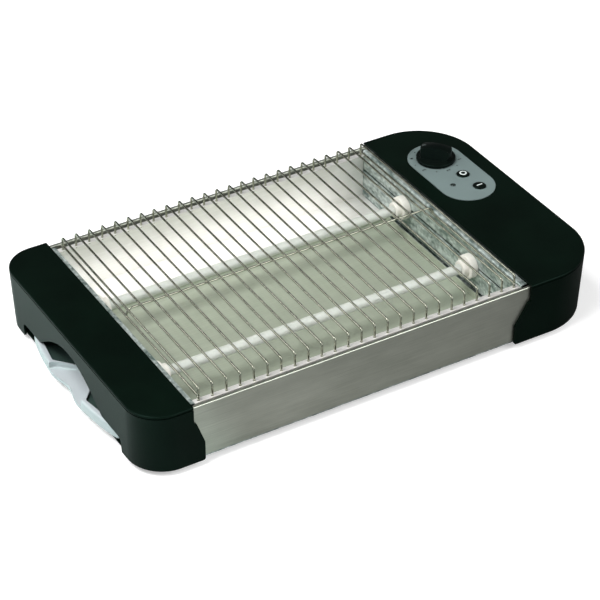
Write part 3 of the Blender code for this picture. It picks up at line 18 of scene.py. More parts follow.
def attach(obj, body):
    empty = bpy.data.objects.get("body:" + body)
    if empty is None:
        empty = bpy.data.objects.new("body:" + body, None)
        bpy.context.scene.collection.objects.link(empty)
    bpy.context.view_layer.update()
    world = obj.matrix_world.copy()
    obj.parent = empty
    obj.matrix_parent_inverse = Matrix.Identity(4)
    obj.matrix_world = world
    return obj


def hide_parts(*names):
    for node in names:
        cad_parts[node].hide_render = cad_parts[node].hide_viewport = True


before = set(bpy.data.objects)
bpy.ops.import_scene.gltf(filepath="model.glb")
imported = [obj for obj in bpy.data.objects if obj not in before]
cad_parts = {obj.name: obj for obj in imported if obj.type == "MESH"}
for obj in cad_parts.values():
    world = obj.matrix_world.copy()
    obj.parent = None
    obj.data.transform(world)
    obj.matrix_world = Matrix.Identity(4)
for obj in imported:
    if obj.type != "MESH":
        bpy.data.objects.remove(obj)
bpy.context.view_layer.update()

LOG = logging.getLogger("toaster")
MM = 0.001
TOUCH = 0.01 * MM
MERGE = 0.001 * MM
CARVE_MERGE = 0.002 * MM
SLIT_VERTS = 8
EDGE_DEGREES = 50
EDGE_SEGMENTS = 2
LEFT = FRONT = -1
RIGHT = REAR = 1
SIDES = ((LEFT, "left"), (RIGHT, "right"))
ROWS = ((FRONT, "front"), (REAR, "rear"))

Point2 = tuple[float, float]
Point3 = tuple[float, float, float]
Stops = tuple[tuple[float, str], ...]
Shape = bmesh.types.BMesh
Material = bpy.types.Material
Tree = bpy.types.NodeTree


class Body(Enum):
    """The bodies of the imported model."""

    HOUSING = "housing"
    KNOB = "knob"
    OFF_KEY = "off_key"
    START_KEY = "start_key"
    TRAY = "tray"


class Slot(Enum):
    """Names of the material slots that new pieces are listed with; nothing reads them."""

    BLACK_PLASTIC = "black_plastic"
    BLACK_RUBBER = "black_rubber"
    GALVANISED = "galvanised_steel"
    CHROMED_WIRE = "chromed_wire"
    QUARTZ = "milky_quartz"
    CERAMIC = "ceramic"
    PANEL_GREY = "panel_grey"
    HANDLE_GREY = "grey_plastic"
    LENS = "lens"
    PLATED = "plated_steel"


class Steps(IntEnum):
    """The faces round a turned shape."""

    SCREW = 32
    HOLE = 40
    PANEL = 48
    TURNED = 56
    KNOB = 96


def linear(code: str) -> Point3:
    """Turns an sRGB hex colour into linear light.

    Args:
        code: The colour as six hex digits.

    Returns:
        Red, green and blue between 0 and 1.
    """
    channels = [int(code[start:start + 2], 16) / 255 for start in (0, 2, 4)]
    return tuple(c / 12.92 if c <= 0.04045 else ((c + 0.055) / 1.055) ** 2.4 for c in channels)


def add_node(tree: Tree, kind: str, links: dict[Any, Any] | None = None,
             inputs: dict[Any, Any] | None = None, **settings: Any) -> bpy.types.Node:
    """Adds a shader node.

    Args:
        tree: The tree to add it to.
        kind: The node's type name, without the ShaderNode prefix.
        links: For each input socket, the output socket that feeds it.
        inputs: For each input socket, its constant value.
        **settings: The node's own properties.

    Returns:
        The new node.
    """
    node = tree.nodes.new("ShaderNode" + kind)
    for name, value in settings.items():
        setattr(node, name, value)
    for socket, value in (inputs or {}).items():
        node.inputs[socket].default_value = value
    for socket, source in (links or {}).items():
        tree.links.new(source, node.inputs[socket])
    return node


def object_space(tree: Tree, scale: Point3 = (1.0, 1.0, 1.0)) -> Any:
    """Gives the socket of object coordinates, stretched per axis."""
    place = add_node(tree, "TexCoord")
    return add_node(tree, "Mapping", {"Vector": place.outputs["Object"]},
                    {"Scale": scale}).outputs["Vector"]


def ramp(tree: Tree, source: Any, stops: Stops) -> Any:
    """Turns a value into a colour.

    Args:
        tree: The tree to add the node to.
        source: The value's socket.
        stops: Positions with their hex colours.

    Returns:
        The colour socket.
    """
    node = add_node(tree, "ValToRGB", {"Fac": source})
    elements = node.color_ramp.elements
    while len(elements) < len(stops):
        elements.new(1.0)
    for element, (position, code) in zip(elements, stops):
        element.position = position
        element.color = (*linear(code), 1.0)
    return node.outputs["Color"]


def seen_as(tree: Tree, seen: Any, tone: float, other: Any) -> Any:
    """Gives one colour to what the camera sees and another to everything else.

    Args:
        tree: The tree to add the node to.
        seen: The socket that says whether the camera looks.
        tone: The grey that the camera sees, in linear light.
        other: The socket of the other colour.

    Returns:
        The colour socket.
    """
    node = add_node(tree, "Mix", {"Factor": seen, "A": other}, data_type="RGBA")
    next(item for item in node.inputs if item.name == "B" and item.type == "RGBA"
         ).default_value = (tone, tone, tone, 1.0)
    return next(item for item in node.outputs if item.type == "RGBA")


class Coat:
    """A node material that is being built."""

    def __init__(self, name: str) -> None:
        """Makes an empty material.

        Args:
            name: The material's name.
        """
        self.material = bpy.data.materials.new(name)
        self.material.use_nodes = True
        self.tree = self.material.node_tree
        self.shader = self.tree.nodes["Principled BSDF"]

    def noise(self, size_mm: float, detail: float, grit: float = 0.5,
              stretch: Point3 = (1.0, 1.0, 1.0)) -> Any:
        """Adds a cloudy pattern.

        Args:
            size_mm: The size of its patches.
            detail: How many finer layers it has.
            grit: How strong these layers are.
            stretch: How much closer the patches lie along each axis.

        Returns:
            The pattern's socket, from 0 to 1.
        """
        return add_node(self.tree, "TexNoise", {"Vector": object_space(self.tree, stretch)},
                        {"Scale": 1 / (size_mm * MM), "Detail": detail,
                         "Roughness": grit}).outputs["Fac"]

    def blend(self, first: Any, second: Any, share: float = 0.5) -> Any:
        """Mixes two patterns.

        Args:
            first: The first pattern's socket.
            second: The second pattern's socket.
            share: How much of the second one goes into the mix.

        Returns:
            The mix's socket.
        """
        part = add_node(self.tree, "Math", {0: second}, {1: share}, operation="MULTIPLY")
        return add_node(self.tree, "Math", {0: first, 2: part.outputs["Value"]}, {1: 1 - share},
                        operation="MULTIPLY_ADD").outputs["Value"]


@dataclass(frozen=True)
class Finish:
    """A finish whose tone, gloss and dents each follow a pattern of real size."""

    name: str
    light: str
    dark: str
    roughness: float
    metallic: float = 0.0
    tone_span: Point2 = (0.32, 0.68)
    gloss_span: Point2 = (0.06, 0.12)
    dent_share: float = 0.4
    dent_mm: float = 0.02

    def patterns(self, coat: Coat) -> tuple[Any, Any, Any]:
        """The sockets that drive the tone, the gloss and the dents."""
        raise NotImplementedError

    def constants(self) -> dict[str, Any]:
        """The shader's other values."""
        return {}

    def make(self) -> Material:
        """Builds the material."""
        coat = Coat(self.name)
        tone, gloss, dents = self.patterns(coat)
        low, high = self.tone_span
        smoother, rougher = self.gloss_span
        sources = {
            "Base Color": ramp(coat.tree, tone, ((low, self.dark), (high, self.light))),
            "Roughness": add_node(coat.tree, "MapRange", {"Value": gloss}, {
                "To Min": self.roughness - smoother,
                "To Max": self.roughness + rougher}).outputs["Result"],
            "Normal": add_node(coat.tree, "Bump", {"Height": dents}, {
                "Strength": self.dent_share,
                "Distance": self.dent_mm * MM}).outputs["Normal"]}
        for socket, source in sources.items():
            coat.tree.links.new(source, coat.shader.inputs[socket])
        for socket, value in {"Metallic": self.metallic, **self.constants()}.items():
            coat.shader.inputs[socket].default_value = value
        return coat.material


@dataclass(frozen=True)
class MouldedAbs(Finish):
    """ABS moulded in a spark-eroded tool: a fine even grain and a soft, broken highlight."""

    tone_span: Point2 = (0.3, 0.7)
    gloss_span: Point2 = (0.05, 0.07)
    dent_share: float = 0.6
    sheen: float = 0.15
    ior: float = 1.53
    grain_mm: float = 0.45
    drift_mm: float = 45.0
    gloss_tint: str = "b0e8d8"

    def patterns(self, coat: Coat) -> tuple[Any, Any, Any]:
        """A slow drift of tone under a fine grain."""
        grain = coat.noise(self.grain_mm, detail=2.0, grit=0.6)
        return coat.noise(self.drift_mm, detail=3.0), grain, grain

    def constants(self) -> dict[str, Any]:
        """A weak, slightly green reflection."""
        return {"IOR": self.ior, "Specular IOR Level": self.sheen,
                "Specular Tint": (*linear(self.gloss_tint), 1.0)}


@dataclass(frozen=True)
class BrushedSheet(Finish):
    """Stainless sheet brushed along its length: long fine scratches that stretch highlights."""

    metallic: float = 1.0
    gloss_span: Point2 = (0.08, 0.12)
    dent_share: float = 0.35
    scratch_mm: float = 0.35
    scratch_length_mm: float = 60.0
    blotch_mm: float = 24.0
    blotch_stretch: Point3 = (0.35, 1.0, 1.0)

    def patterns(self, coat: Coat) -> tuple[Any, Any, Any]:
        """Scratches, with blotches in their tone."""
        scratches = coat.noise(self.scratch_mm, detail=3.0, grit=0.65,
                               stretch=(self.scratch_mm / self.scratch_length_mm, 1.0, 1.0))
        blotches = coat.noise(self.blotch_mm, detail=4.0, grit=0.6, stretch=self.blotch_stretch)
        return coat.blend(scratches, blotches), scratches, scratches


@dataclass(frozen=True)
class RolledSheet(Finish):
    """Bright rolled tinplate: mirror-like, with slow waves, smudges and a few rolling lines."""

    dent_share: float = 0.5
    dent_mm: float = 0.08
    wave_mm: float = 35.0
    wave_stretch: Point3 = (0.6, 1.0, 1.0)
    smudge_mm: float = 16.0
    line_mm: float = 1 / 0.9
    line_stretch: Point3 = (1 / 300, 1.0, 1.0)

    def patterns(self, coat: Coat) -> tuple[Any, Any, Any]:
        """Smudges and rolling lines over slow waves."""
        smudges = coat.noise(self.smudge_mm, detail=5.0, grit=0.65)
        lines = coat.noise(self.line_mm, detail=2.0, stretch=self.line_stretch)
        waves = coat.noise(self.wave_mm, detail=1.0, stretch=self.wave_stretch)
        return coat.blend(smudges, lines), smudges, waves


@dataclass(frozen=True)
class GalvanisedSheet(Finish):
    """Hot-dip galvanised sheet: zinc spangles, each crystal with its own tone and gloss."""

    metallic: float = 0.6
    tone_span: Point2 = (0.38, 0.60)
    gloss_span: Point2 = (0.10, 0.15)
    dent_mm: float = 0.12
    spangle_mm: float = 2.2
    spangle_share: float = 0.25
    cloud_mm: float = 11.0
    cloud_stretch: Point3 = (1.0, 0.35, 1.6)

    def patterns(self, coat: Coat) -> tuple[Any, Any, Any]:
        """Spangles in drifting clouds."""
        crystals = add_node(coat.tree, "TexVoronoi", {"Vector": object_space(coat.tree)},
                            {"Scale": 1 / (self.spangle_mm * MM)}, feature="SMOOTH_F1")
        grey = add_node(coat.tree, "RGBToBW", {"Color": crystals.outputs["Color"]})
        clouds = coat.noise(self.cloud_mm, detail=6.0, grit=0.68, stretch=self.cloud_stretch)
        zinc = coat.blend(clouds, grey.outputs["Val"], self.spangle_share)
        return zinc, zinc, zinc


@dataclass(frozen=True)
class SpeckledBody(Finish):
    """A hard body with fine speckle and a slow drift of tone: ceramic, quartz, rubber or board."""

    tone_span: Point2 = (0.35, 0.65)
    gloss_span: Point2 = (0.06, 0.08)
    dent_mm: float = 0.03
    ior: float = 1.5
    speckle_mm: float = 0.9
    drift_mm: float = 20.0
    scatter: float = 0.0
    scatter_mm: float = 4.0

    def patterns(self, coat: Coat) -> tuple[Any, Any, Any]:
        """Speckle on a slow drift."""
        speckle = coat.noise(self.speckle_mm, detail=3.0, grit=0.6)
        return coat.blend(speckle, coat.noise(self.drift_mm, detail=3.0)), speckle, speckle

    def constants(self) -> dict[str, Any]:
        """How light bends and scatters in the body."""
        return {"IOR": self.ior, "Subsurface Weight": self.scatter,
                "Subsurface Radius": (1.0, 1.0, 1.0),
                "Subsurface Scale": self.scatter_mm * MM}


class Look(Enum):
    """Every finish of the toaster."""

    BLACK_ABS = MouldedAbs("moulded_black_abs", "05100a", "030a06", 0.36, sheen=0.07)
    KNOB_ABS = MouldedAbs("moulded_knob_abs", "080e0b", "050908", 0.32, sheen=0.09)
    PANEL_ABS = MouldedAbs("satin_grey_panel_abs", "6b7978", "647170", 0.40, sheen=0.4)
    HANDLE_ABS = MouldedAbs("satin_light_grey_abs", "b1b8bb", "a7aeb2", 0.24, sheen=0.5)
    # The pads' grey-teal is painted light: black plastic made lighter to show light falling into
    # the finger wells.
    PAINTED_LIT_PAD_ABS = MouldedAbs("painted_lit_pad_abs", "34433f", "2c3a36", 0.42, sheen=0.25)
    BRUSHED = BrushedSheet("brushed_stainless_sheet", "d4d8cc", "aaafa3", 0.36)
    TINPLATE = RolledSheet("bright_rolled_tinplate", "f6f5f2", "e9e8e3", 0.30, 0.5)
    TRAY_TIN = RolledSheet("tray_rolled_tinplate", "afb7a5", "9ca493", 0.33, 0.22)
    GALVANISED = GalvanisedSheet("spangled_galvanised_sheet", "d6e0dd", "677a75", 0.34)
    WIRE = SpeckledBody("nickel_plated_wire", "9fa193", "86887b", 0.14, 1.0, speckle_mm=7.0,
                        dent_mm=0.004)
    QUARTZ = SpeckledBody("milky_fused_quartz", "cdd2ca", "c0c5bd", 0.34, ior=1.46,
                          speckle_mm=2.5, dent_mm=0.01, scatter=0.8)
    STEATITE = SpeckledBody("unglazed_steatite", "e8e6de", "d8d6cc", 0.55)
    RUBBER = SpeckledBody("moulded_black_rubber", "1c1d1c", "141514", 0.72)
    BOARD = SpeckledBody("green_solder_mask", "1d5a35", "16492b", 0.38)
    NYLON = SpeckledBody("white_nylon", "d9d8d0", "cccbc2", 0.5)
    PLATED = SpeckledBody("nickel_plated_steel", "b4b0a6", "98958c", 0.3, 1.0)
    INK = SpeckledBody("printed_dark_ink", "121918", "0d1312", 0.45)
    GREY_INK = SpeckledBody("printed_grey_ink", "6a7472", "5e6866", 0.45)
    WHITE_INK = SpeckledBody("printed_white_ink", "ccd6d3", "c2ccc9", 0.4)
    LENS = SpeckledBody("dark_tinted_lens", "2a3331", "1e2624", 0.12, ior=1.49,
                        speckle_mm=4.0, dent_mm=0.002)


@dataclass(frozen=True)
class Corner:
    """A corner of a flat outline, with the radius that rounds it."""

    x: float
    y: float
    radius: float = 0.0


def oblong(half_x: float, half_y: float, radius: float, middle: Point2 = (0.0, 0.0)
           ) -> list[Corner]:
    """Gives a rectangle's outline.

    Args:
        half_x: Half its size in X.
        half_y: Half its size in Y.
        radius: The radius of its corners.
        middle: Where its middle lies.

    Returns:
        Its four corners.
    """
    return [Corner(middle[0] + x * half_x, middle[1] + y * half_y, radius)
            for x, y in ((-1, -1), (1, -1), (1, 1), (-1, 1))]


def box_shape(low: Point3, high: Point3) -> Shape:
    """Makes a box between its lowest and its highest corner."""
    shape = bmesh.new()
    size = Vector(high) - Vector(low)
    middle = (Vector(high) + Vector(low)) / 2
    bmesh.ops.create_cube(shape, size=1.0,
                          matrix=Matrix.Translation(middle) @ Matrix.Diagonal((*size, 1.0)))
    return shape


def plate_shape(corners: Sequence[Corner], low: float, high: float, segments: int = 12) -> Shape:
    """Makes a solid from a flat outline with rounded corners.

    Args:
        corners: The outline's corners in order.
        low: The level of its underside.
        high: The level of its top.
        segments: The faces round a corner of a quarter turn.

    Returns:
        The solid, which lies in the XY plane.
    """
    shape = bmesh.new()
    verts = [shape.verts.new((corner.x, corner.y, low)) for corner in corners]
    shape.faces.new(verts)
    for index, (corner, vert) in enumerate(zip(corners, verts)):
        if corner.radius <= 0:
            continue
        here = Vector((corner.x, corner.y))
        before = Vector((corners[index - 1].x, corners[index - 1].y)) - here
        after = corners[(index + 1) % len(corners)]
        opening = before.angle(Vector((after.x, after.y)) - here)
        steps = max(2, round(segments * (math.pi - opening) / (math.pi / 2)))
        bmesh.ops.bevel(shape, geom=[vert], offset=corner.radius / math.tan(opening / 2),
                        offset_type="OFFSET", segments=steps, profile=0.5,
                        affect="VERTICES", material=-1)
    grown = bmesh.ops.extrude_face_region(shape, geom=shape.faces[:1])["geom"]
    top = [part for part in grown if isinstance(part, bmesh.types.BMVert)]
    bmesh.ops.translate(shape, vec=(0.0, 0.0, high - low), verts=top)
    bmesh.ops.recalc_face_normals(shape, faces=shape.faces)
    return shape


def turned_shape(profile: Sequence[Point2], steps: int = Steps.TURNED,
                 closed: bool = False) -> Shape:
    """Spins a profile about the Z axis.

    Args:
        profile: Points of radius and height.
        steps: The faces round the full turn.
        closed: Whether the last point joins the first, as on a tube.

    Returns:
        The turned solid.
    """
    shape = bmesh.new()
    verts = [shape.verts.new((radius, 0.0, height)) for radius, height in profile]
    edges = [shape.edges.new(pair) for pair in zip(verts, verts[1:])]
    if closed:
        edges.append(shape.edges.new((verts[-1], verts[0])))
    bmesh.ops.spin(shape, geom=verts + edges, cent=(0, 0, 0), axis=(0, 0, 1), dvec=(0, 0, 0),
                   angle=2 * math.pi, steps=steps, use_merge=True)
    bmesh.ops.remove_doubles(shape, verts=shape.verts, dist=MERGE)
    bmesh.ops.recalc_face_normals(shape, faces=shape.faces)
    return shape


def drawn_out(shape: Shape, face: bmesh.types.BMFace) -> bmesh.types.BMFace:
    """Draws a face out of a shape and gives the face at its end, which hasn't moved yet."""
    grown = bmesh.ops.extrude_face_region(shape, geom=[face, *face.edges])["geom"]
    return next(part for part in grown if isinstance(part, bmesh.types.BMFace))


def swept_shape(path: Sequence[Point3], radius: float, sides: int = 12) -> Shape:
    """Draws a round bar along a path.

    Args:
        path: The points of its middle line.
        radius: The bar's radius.
        sides: The faces round it.

    Returns:
        The bar, closed at both ends.
    """
    points = [Vector(point) for point in path]
    steps = [(b - a).normalized() for a, b in zip(points, points[1:])]
    heads = [steps[0]] + [(a + b).normalized() for a, b in zip(steps, steps[1:])] + [steps[-1]]
    shape = bmesh.new()
    turn = heads[0].to_track_quat("Z", "Y")
    place = Matrix.Translation(points[0]) @ turn.to_matrix().to_4x4()
    bmesh.ops.create_circle(shape, cap_ends=True, segments=sides, radius=radius, matrix=place)
    face = shape.faces[:][0]
    for point, old, new in zip(points[1:], heads, heads[1:]):
        face = drawn_out(shape, face)
        turn = old.rotation_difference(new) @ turn
        following = Matrix.Translation(point) @ turn.to_matrix().to_4x4()
        bmesh.ops.transform(shape, matrix=following @ place.inverted(), verts=face.verts[:])
        place = following
    bmesh.ops.recalc_face_normals(shape, faces=shape.faces)
    return shape


def bend_points(middle: Point2, radius: float, start: float, end: float,
                steps: int = 8) -> list[Point2]:
    """Gives points on a bend.

    Args:
        middle: The bend's middle.
        radius: Its radius.
        start: The first angle in degrees.
        end: The last angle in degrees.
        steps: The number of steps between them.

    Returns:
        The points, both ends included.
    """
    angles = [math.radians(start + (end - start) * step / steps) for step in range(steps + 1)]
    return [(middle[0] + radius * math.cos(angle), middle[1] + radius * math.sin(angle))
            for angle in angles]


def dome_points(radius: float, top: float, rise: float, steps: int = 6) -> list[Point2]:
    """Gives a dome's profile from its middle out, its top at a level and as high as its rise."""
    turns = [math.pi / 2 * step / steps for step in range(steps + 1)]
    return [(radius * math.sin(turn), top - rise * (1 - math.cos(turn))) for turn in turns]


def edges_at(shape: Shape, level: float) -> list[bmesh.types.BMEdge]:
    """Gives the edges that lie at a level."""
    return [edge for edge in shape.edges
            if all(abs(vert.co.z - level) < TOUCH for vert in edge.verts)]


def round_off(shape: Shape, edges: Sequence[bmesh.types.BMEdge], radius: float,
              steps: int) -> None:
    """Rounds a shape's edges.

    Args:
        shape: The shape.
        edges: Its edges to round.
        radius: The rounding's radius.
        steps: The faces across the rounding.
    """
    bmesh.ops.bevel(shape, geom=edges, offset=radius, offset_type="OFFSET", segments=steps,
                    profile=0.5, affect="EDGES", material=-1)


def crown_over(shape: Shape, length: float, cuts: int, height: Callable[[float], float],
               sink: float) -> Shape:
    """Lays a flat mark over a crowned top.

    Args:
        shape: The mark.
        length: How long an edge in X has to be to be cut.
        cuts: The number of cuts in such an edge.
        height: Gives the top's height at a radius.
        sink: How deep the mark lies in the top.

    Returns:
        The mark.
    """
    lengthwise = [edge for edge in shape.edges
                  if abs(edge.verts[0].co.x - edge.verts[1].co.x) > length]
    bmesh.ops.subdivide_edges(shape, edges=lengthwise, cuts=cuts)
    for vert in shape.verts:
        vert.co.z += height(vert.co.xy.length) - sink
    return shape


def moved(shape: Shape, matrix: Matrix) -> Shape:
    """Moves or turns a whole shape and gives it back."""
    bmesh.ops.transform(shape, matrix=matrix, verts=shape.verts)
    return shape


def at(place: Point2, level: float = 0.0) -> Matrix:
    """Gives the move to a place in plan and a level."""
    return Matrix.Translation((*place, level))


def turn_to(axis: str, place: Point3 = (0.0, 0.0, 0.0)) -> Matrix:
    """Gives the move that lays a shape's Z axis along another axis at a place."""
    quarter = math.pi / 2
    turns = {"X": Matrix.Rotation(quarter, 4, "Y"), "-X": Matrix.Rotation(-quarter, 4, "Y"),
             "Y": Matrix.Rotation(-quarter, 4, "X"), "Z": Matrix.Identity(4)}
    return Matrix.Translation(place) @ turns[axis]


def upright(low: float, high: float) -> Matrix:
    """Gives the move that stands an XY outline up in XZ, its thickness from low to high in Y."""
    return Matrix(((1, 0, 0, 0), (0, 0, -1, high + low), (0, 1, 0, 0), (0, 0, 0, 1)))


def crosswise() -> Matrix:
    """Gives the move that stands an XY outline up in YZ, its thickness along X."""
    return Matrix(((0, 0, 1, 0), (1, 0, 0, 0), (0, 1, 0, 0), (0, 0, 0, 1)))


def round_bar(radius: float, low: float, high: float, place: Point3 = (0.0, 0.0, 0.0),
              axis: str = "Z", steps: int = Steps.HOLE) -> Shape:
    """Makes what a drill takes out.

    Args:
        radius: Its radius.
        low: Where it starts along its axis.
        high: Where it ends along its axis.
        place: Where its axis lies.
        axis: The way that it points.
        steps: The faces round it.

    Returns:
        The solid.
    """
    profile = [(0.0, low), (radius, low), (radius, high), (0.0, high)]
    return moved(turned_shape(profile, steps), turn_to(axis, place))


def joined_shape(shapes: Iterable[Shape]) -> Shape:
    """Puts several shapes into one, each left as it is."""
    whole = bmesh.new()
    for shape in shapes:
        mesh = bpy.data.meshes.new("part")
        shape.to_mesh(mesh)
        shape.free()
        whole.from_mesh(mesh)
        bpy.data.meshes.remove(mesh)
    return whole


def placed_object(name: str, data: Any) -> bpy.types.Object:
    """Puts a new object with its data into the scene."""
    item = bpy.data.objects.new(name, data)
    bpy.context.scene.collection.objects.link(item)
    return item


def loose_object(name: str, shape: Shape) -> bpy.types.Object:
    """Makes an object of a shape and frees the shape."""
    mesh = bpy.data.meshes.new(name)
    shape.to_mesh(mesh)
    shape.free()
    return placed_object(name, mesh)


def carved_shape(shape: Shape, cuts: Sequence[Shape], joins: Sequence[Shape] = ()) -> Shape:
    """Joins shapes onto a solid and then cuts others out of it, in order.

    Args:
        shape: The solid.
        cuts: What is cut out.
        joins: What is joined on first.

    Returns:
        The carved solid.
    """
    item = loose_object("carved", shape)
    helpers = []
    for operation, tools in (("UNION", joins), ("DIFFERENCE", cuts)):
        for tool in tools:
            helpers.append(loose_object("tool", tool))
            modifier = item.modifiers.new("carve", "BOOLEAN")
            modifier.operation = operation
            modifier.solver = "EXACT"
            modifier.object = helpers[-1]
    result = bmesh.new()
    result.from_object(item, bpy.context.evaluated_depsgraph_get())
    for unused in [item, *helpers]:
        mesh = unused.data
        bpy.data.objects.remove(unused)
        bpy.data.meshes.remove(mesh)
    bmesh.ops.remove_doubles(result, verts=result.verts, dist=CARVE_MERGE)
    slit = [face for face in result.faces if len(face.verts) > SLIT_VERTS]
    bmesh.ops.triangulate(result, faces=slit)
    return result


@dataclass
class Bench:
    """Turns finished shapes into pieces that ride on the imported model."""

    materials: dict[Look, Material]

    def add(self, name: str, shape: Shape, look: Look, slot: Slot | None = None,
            stands_for: Sequence[str] = (), body: Body = Body.HOUSING, sharp: float = 35.0,
            edge: float = 0.0) -> None:
        """Makes a piece.

        Args:
            name: The piece's name.
            shape: Its finished shape, which is freed.
            look: Its finish.
            slot: Not used.
            stands_for: The nodes that it takes the place of.
            body: The body that it rides on.
            sharp: The angle in degrees above which an edge shows.
            edge: The radius that rounds its sharp edges.
        """
        piece = loose_object(name, shape)
        piece.data.shade_smooth()
        piece.data.set_sharp_from_angle(angle=math.radians(sharp))
        piece.data.materials.append(self.materials[look])
        if edge > 0:
            round_edges = piece.modifiers.new("round_edges", "BEVEL")
            round_edges.width = edge
            round_edges.segments = EDGE_SEGMENTS
            round_edges.limit_method = "ANGLE"
            round_edges.angle_limit = math.radians(EDGE_DEGREES)
        piece.modifiers.new("even_shading", "WEIGHTED_NORMAL").keep_sharp = edge == 0
        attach(piece, body.value)
        if stands_for:
            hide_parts(*stands_for)
        LOG.info("built %s on %s", name, body.value)


@dataclass(frozen=True)
class Levels:
    """The heights and lengths that the pieces share, in metres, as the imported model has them."""

    chamber_x: float = -0.015414
    chamber_half: float = 0.154
    steel_half_depth: float = 0.125
    seat: float = 0.0003
    foot: float = 0.0050
    cap_wall: float = 0.0022
    cap_top: float = 0.0585
    rack_rise: float = 0.0102
    tube_drop: float = 0.0204
    overrun: float = 0.004

    @property
    def floor(self) -> float:
        """Where cuts from below start."""
        return self.foot - self.overrun

    @property
    def cap_half_depth(self) -> float:
        """Half the depth of the end caps."""
        return self.steel_half_depth + self.seat + self.cap_wall

    @property
    def cap_underside(self) -> float:
        """The underside of a cap's top."""
        return self.cap_top - self.cap_wall

    @property
    def steel_top(self) -> float:
        """The top of the steel walls."""
        return self.cap_underside - self.seat

    @property
    def rack_top(self) -> float:
        """The top of the rack's wires."""
        return self.steel_top + self.rack_rise

    @property
    def tube_z(self) -> float:
        """The height of the heaters' middle line."""
        return self.steel_top - self.tube_drop


LEVELS = Levels()


@dataclass
class EndCap:
    """A moulded end cap: rounded shell, laps over the steel, and what is cut into it."""

    side: int
    width: float
    radius: float
    flare: float
    draft: float = 0.0015
    corner_growth: float = 0.0030
    fillet: float = 0.0013
    groove_drop: float = 0.0018
    groove_width: float = 0.0011
    groove_depth: float = 0.0009
    lap: float = 0.0044
    lap_top_drop: float = 0.0155
    lap_bottom_drop: float = 0.0360
    lap_corner: float = 0.0020
    lap_shoulder: float = 0.0018
    edge: float = 0.25 * MM
    corner_steps: int = 28
    fillet_steps: int = 6

    @property
    def inner_x(self) -> float:
        """Where the cap's top ends at the chamber."""
        return LEVELS.chamber_x + self.side * LEVELS.chamber_half

    @property
    def outer_x(self) -> float:
        """The outside of the end wall at its top."""
        return self.inner_x + self.side * self.width

    def drawn_in(self, shape: Shape, level: float, inset: float) -> None:
        """Draws the points at a level in towards the chamber and rounds the corners more.

        Args:
            shape: The solid, made from the cap's plan.
            level: The level of the points.
            inset: How far the solid's walls lie inside the cap's outside.
        """
        low = [vert for vert in shape.verts if abs(vert.co.z - level) < TOUCH]
        outer = self.outer_x - self.side * inset
        half = LEVELS.cap_half_depth - inset
        radius = self.radius - inset
        share = (radius + self.corner_growth) / radius
        for end in (FRONT, REAR):
            bend = [vert for vert in low if abs(vert.co.x - outer) < radius + TOUCH
                    and end * vert.co.y > half - radius - TOUCH]
            bmesh.ops.scale(shape, vec=(share, share, 1.0), verts=bend,
                            space=Matrix.Translation((-outer, -end * half, 0.0)))
        share = (self.width - self.draft) / self.width
        bmesh.ops.scale(shape, vec=(share, 1.0, 1.0), verts=low,
                        space=Matrix.Translation((-self.inner_x, 0.0, 0.0)))

    def plan(self, inset: float, reach: float, low: float, high: float) -> Shape:
        """A solid of the cap's plan.

        Args:
            inset: How far its walls lie inside the cap's outside.
            reach: How far its inner edge is moved out over the chamber.
            low: The level of its underside.
            high: The level of its top.

        Returns:
            The solid.
        """
        inner = self.inner_x - self.side * reach
        outer = self.outer_x - self.side * inset
        half = LEVELS.cap_half_depth - inset
        radius = self.radius - inset
        corners = [Corner(inner, -half), Corner(outer, -half, radius),
                   Corner(outer, half, radius), Corner(inner, half)]
        return plate_shape(corners, low, high, self.corner_steps)

    def outer_shape(self) -> Shape:
        """The cap's outside, with its top edge rounded."""
        shape = self.plan(0.0, 0.0, LEVELS.foot, LEVELS.cap_top)
        self.drawn_in(shape, LEVELS.foot, 0.0)
        rim = [edge for edge in edges_at(shape, LEVELS.cap_top)
               if any(abs(vert.co.x - self.inner_x) > TOUCH for vert in edge.verts)]
        round_off(shape, rim, self.fillet, self.fillet_steps)
        return shape

    def hollow_shape(self) -> Shape:
        """What is taken out to leave the shell."""
        shape = self.plan(LEVELS.cap_wall, self.flare + LEVELS.overrun, LEVELS.floor,
                          LEVELS.cap_underside)
        self.drawn_in(shape, LEVELS.floor, LEVELS.cap_wall)
        return shape

    def lap_shape(self, end: int) -> Shape:
        """The stepped lower edge that laps over the steel wall at the front or rear."""
        root = self.inner_x + self.side * self.lap
        reach = self.inner_x - self.side * self.flare
        top = LEVELS.cap_top - self.lap_top_drop
        knee = LEVELS.cap_top - self.lap_bottom_drop
        corners = [Corner(root, LEVELS.foot), Corner(reach, LEVELS.foot, self.lap_corner),
                   Corner(reach, knee, self.lap_corner),
                   Corner(self.inner_x - self.side * self.lap_shoulder, top, self.lap_corner),
                   Corner(root, top)]
        near = LEVELS.cap_half_depth - self.lap
        low, high = sorted((end * near, end * LEVELS.cap_half_depth))
        return moved(plate_shape(corners, low, high, segments=6), upright(low, high))

    def groove_ring(self) -> Shape:
        """What is taken out for the fine groove that runs under the top's rounded edge."""
        high = LEVELS.cap_top - self.groove_drop
        low = high - self.groove_width
        core = self.plan(self.groove_depth, 2 * LEVELS.overrun, low - self.groove_width,
                         high + self.groove_width)
        return carved_shape(self.plan(-LEVELS.cap_wall, LEVELS.overrun, low, high), [core])

    def shell(self) -> Shape:
        """The cap's shell with both laps."""
        return carved_shape(self.outer_shape(), [self.hollow_shape(), self.groove_ring()],
                            [self.lap_shape(FRONT), self.lap_shape(REAR)])


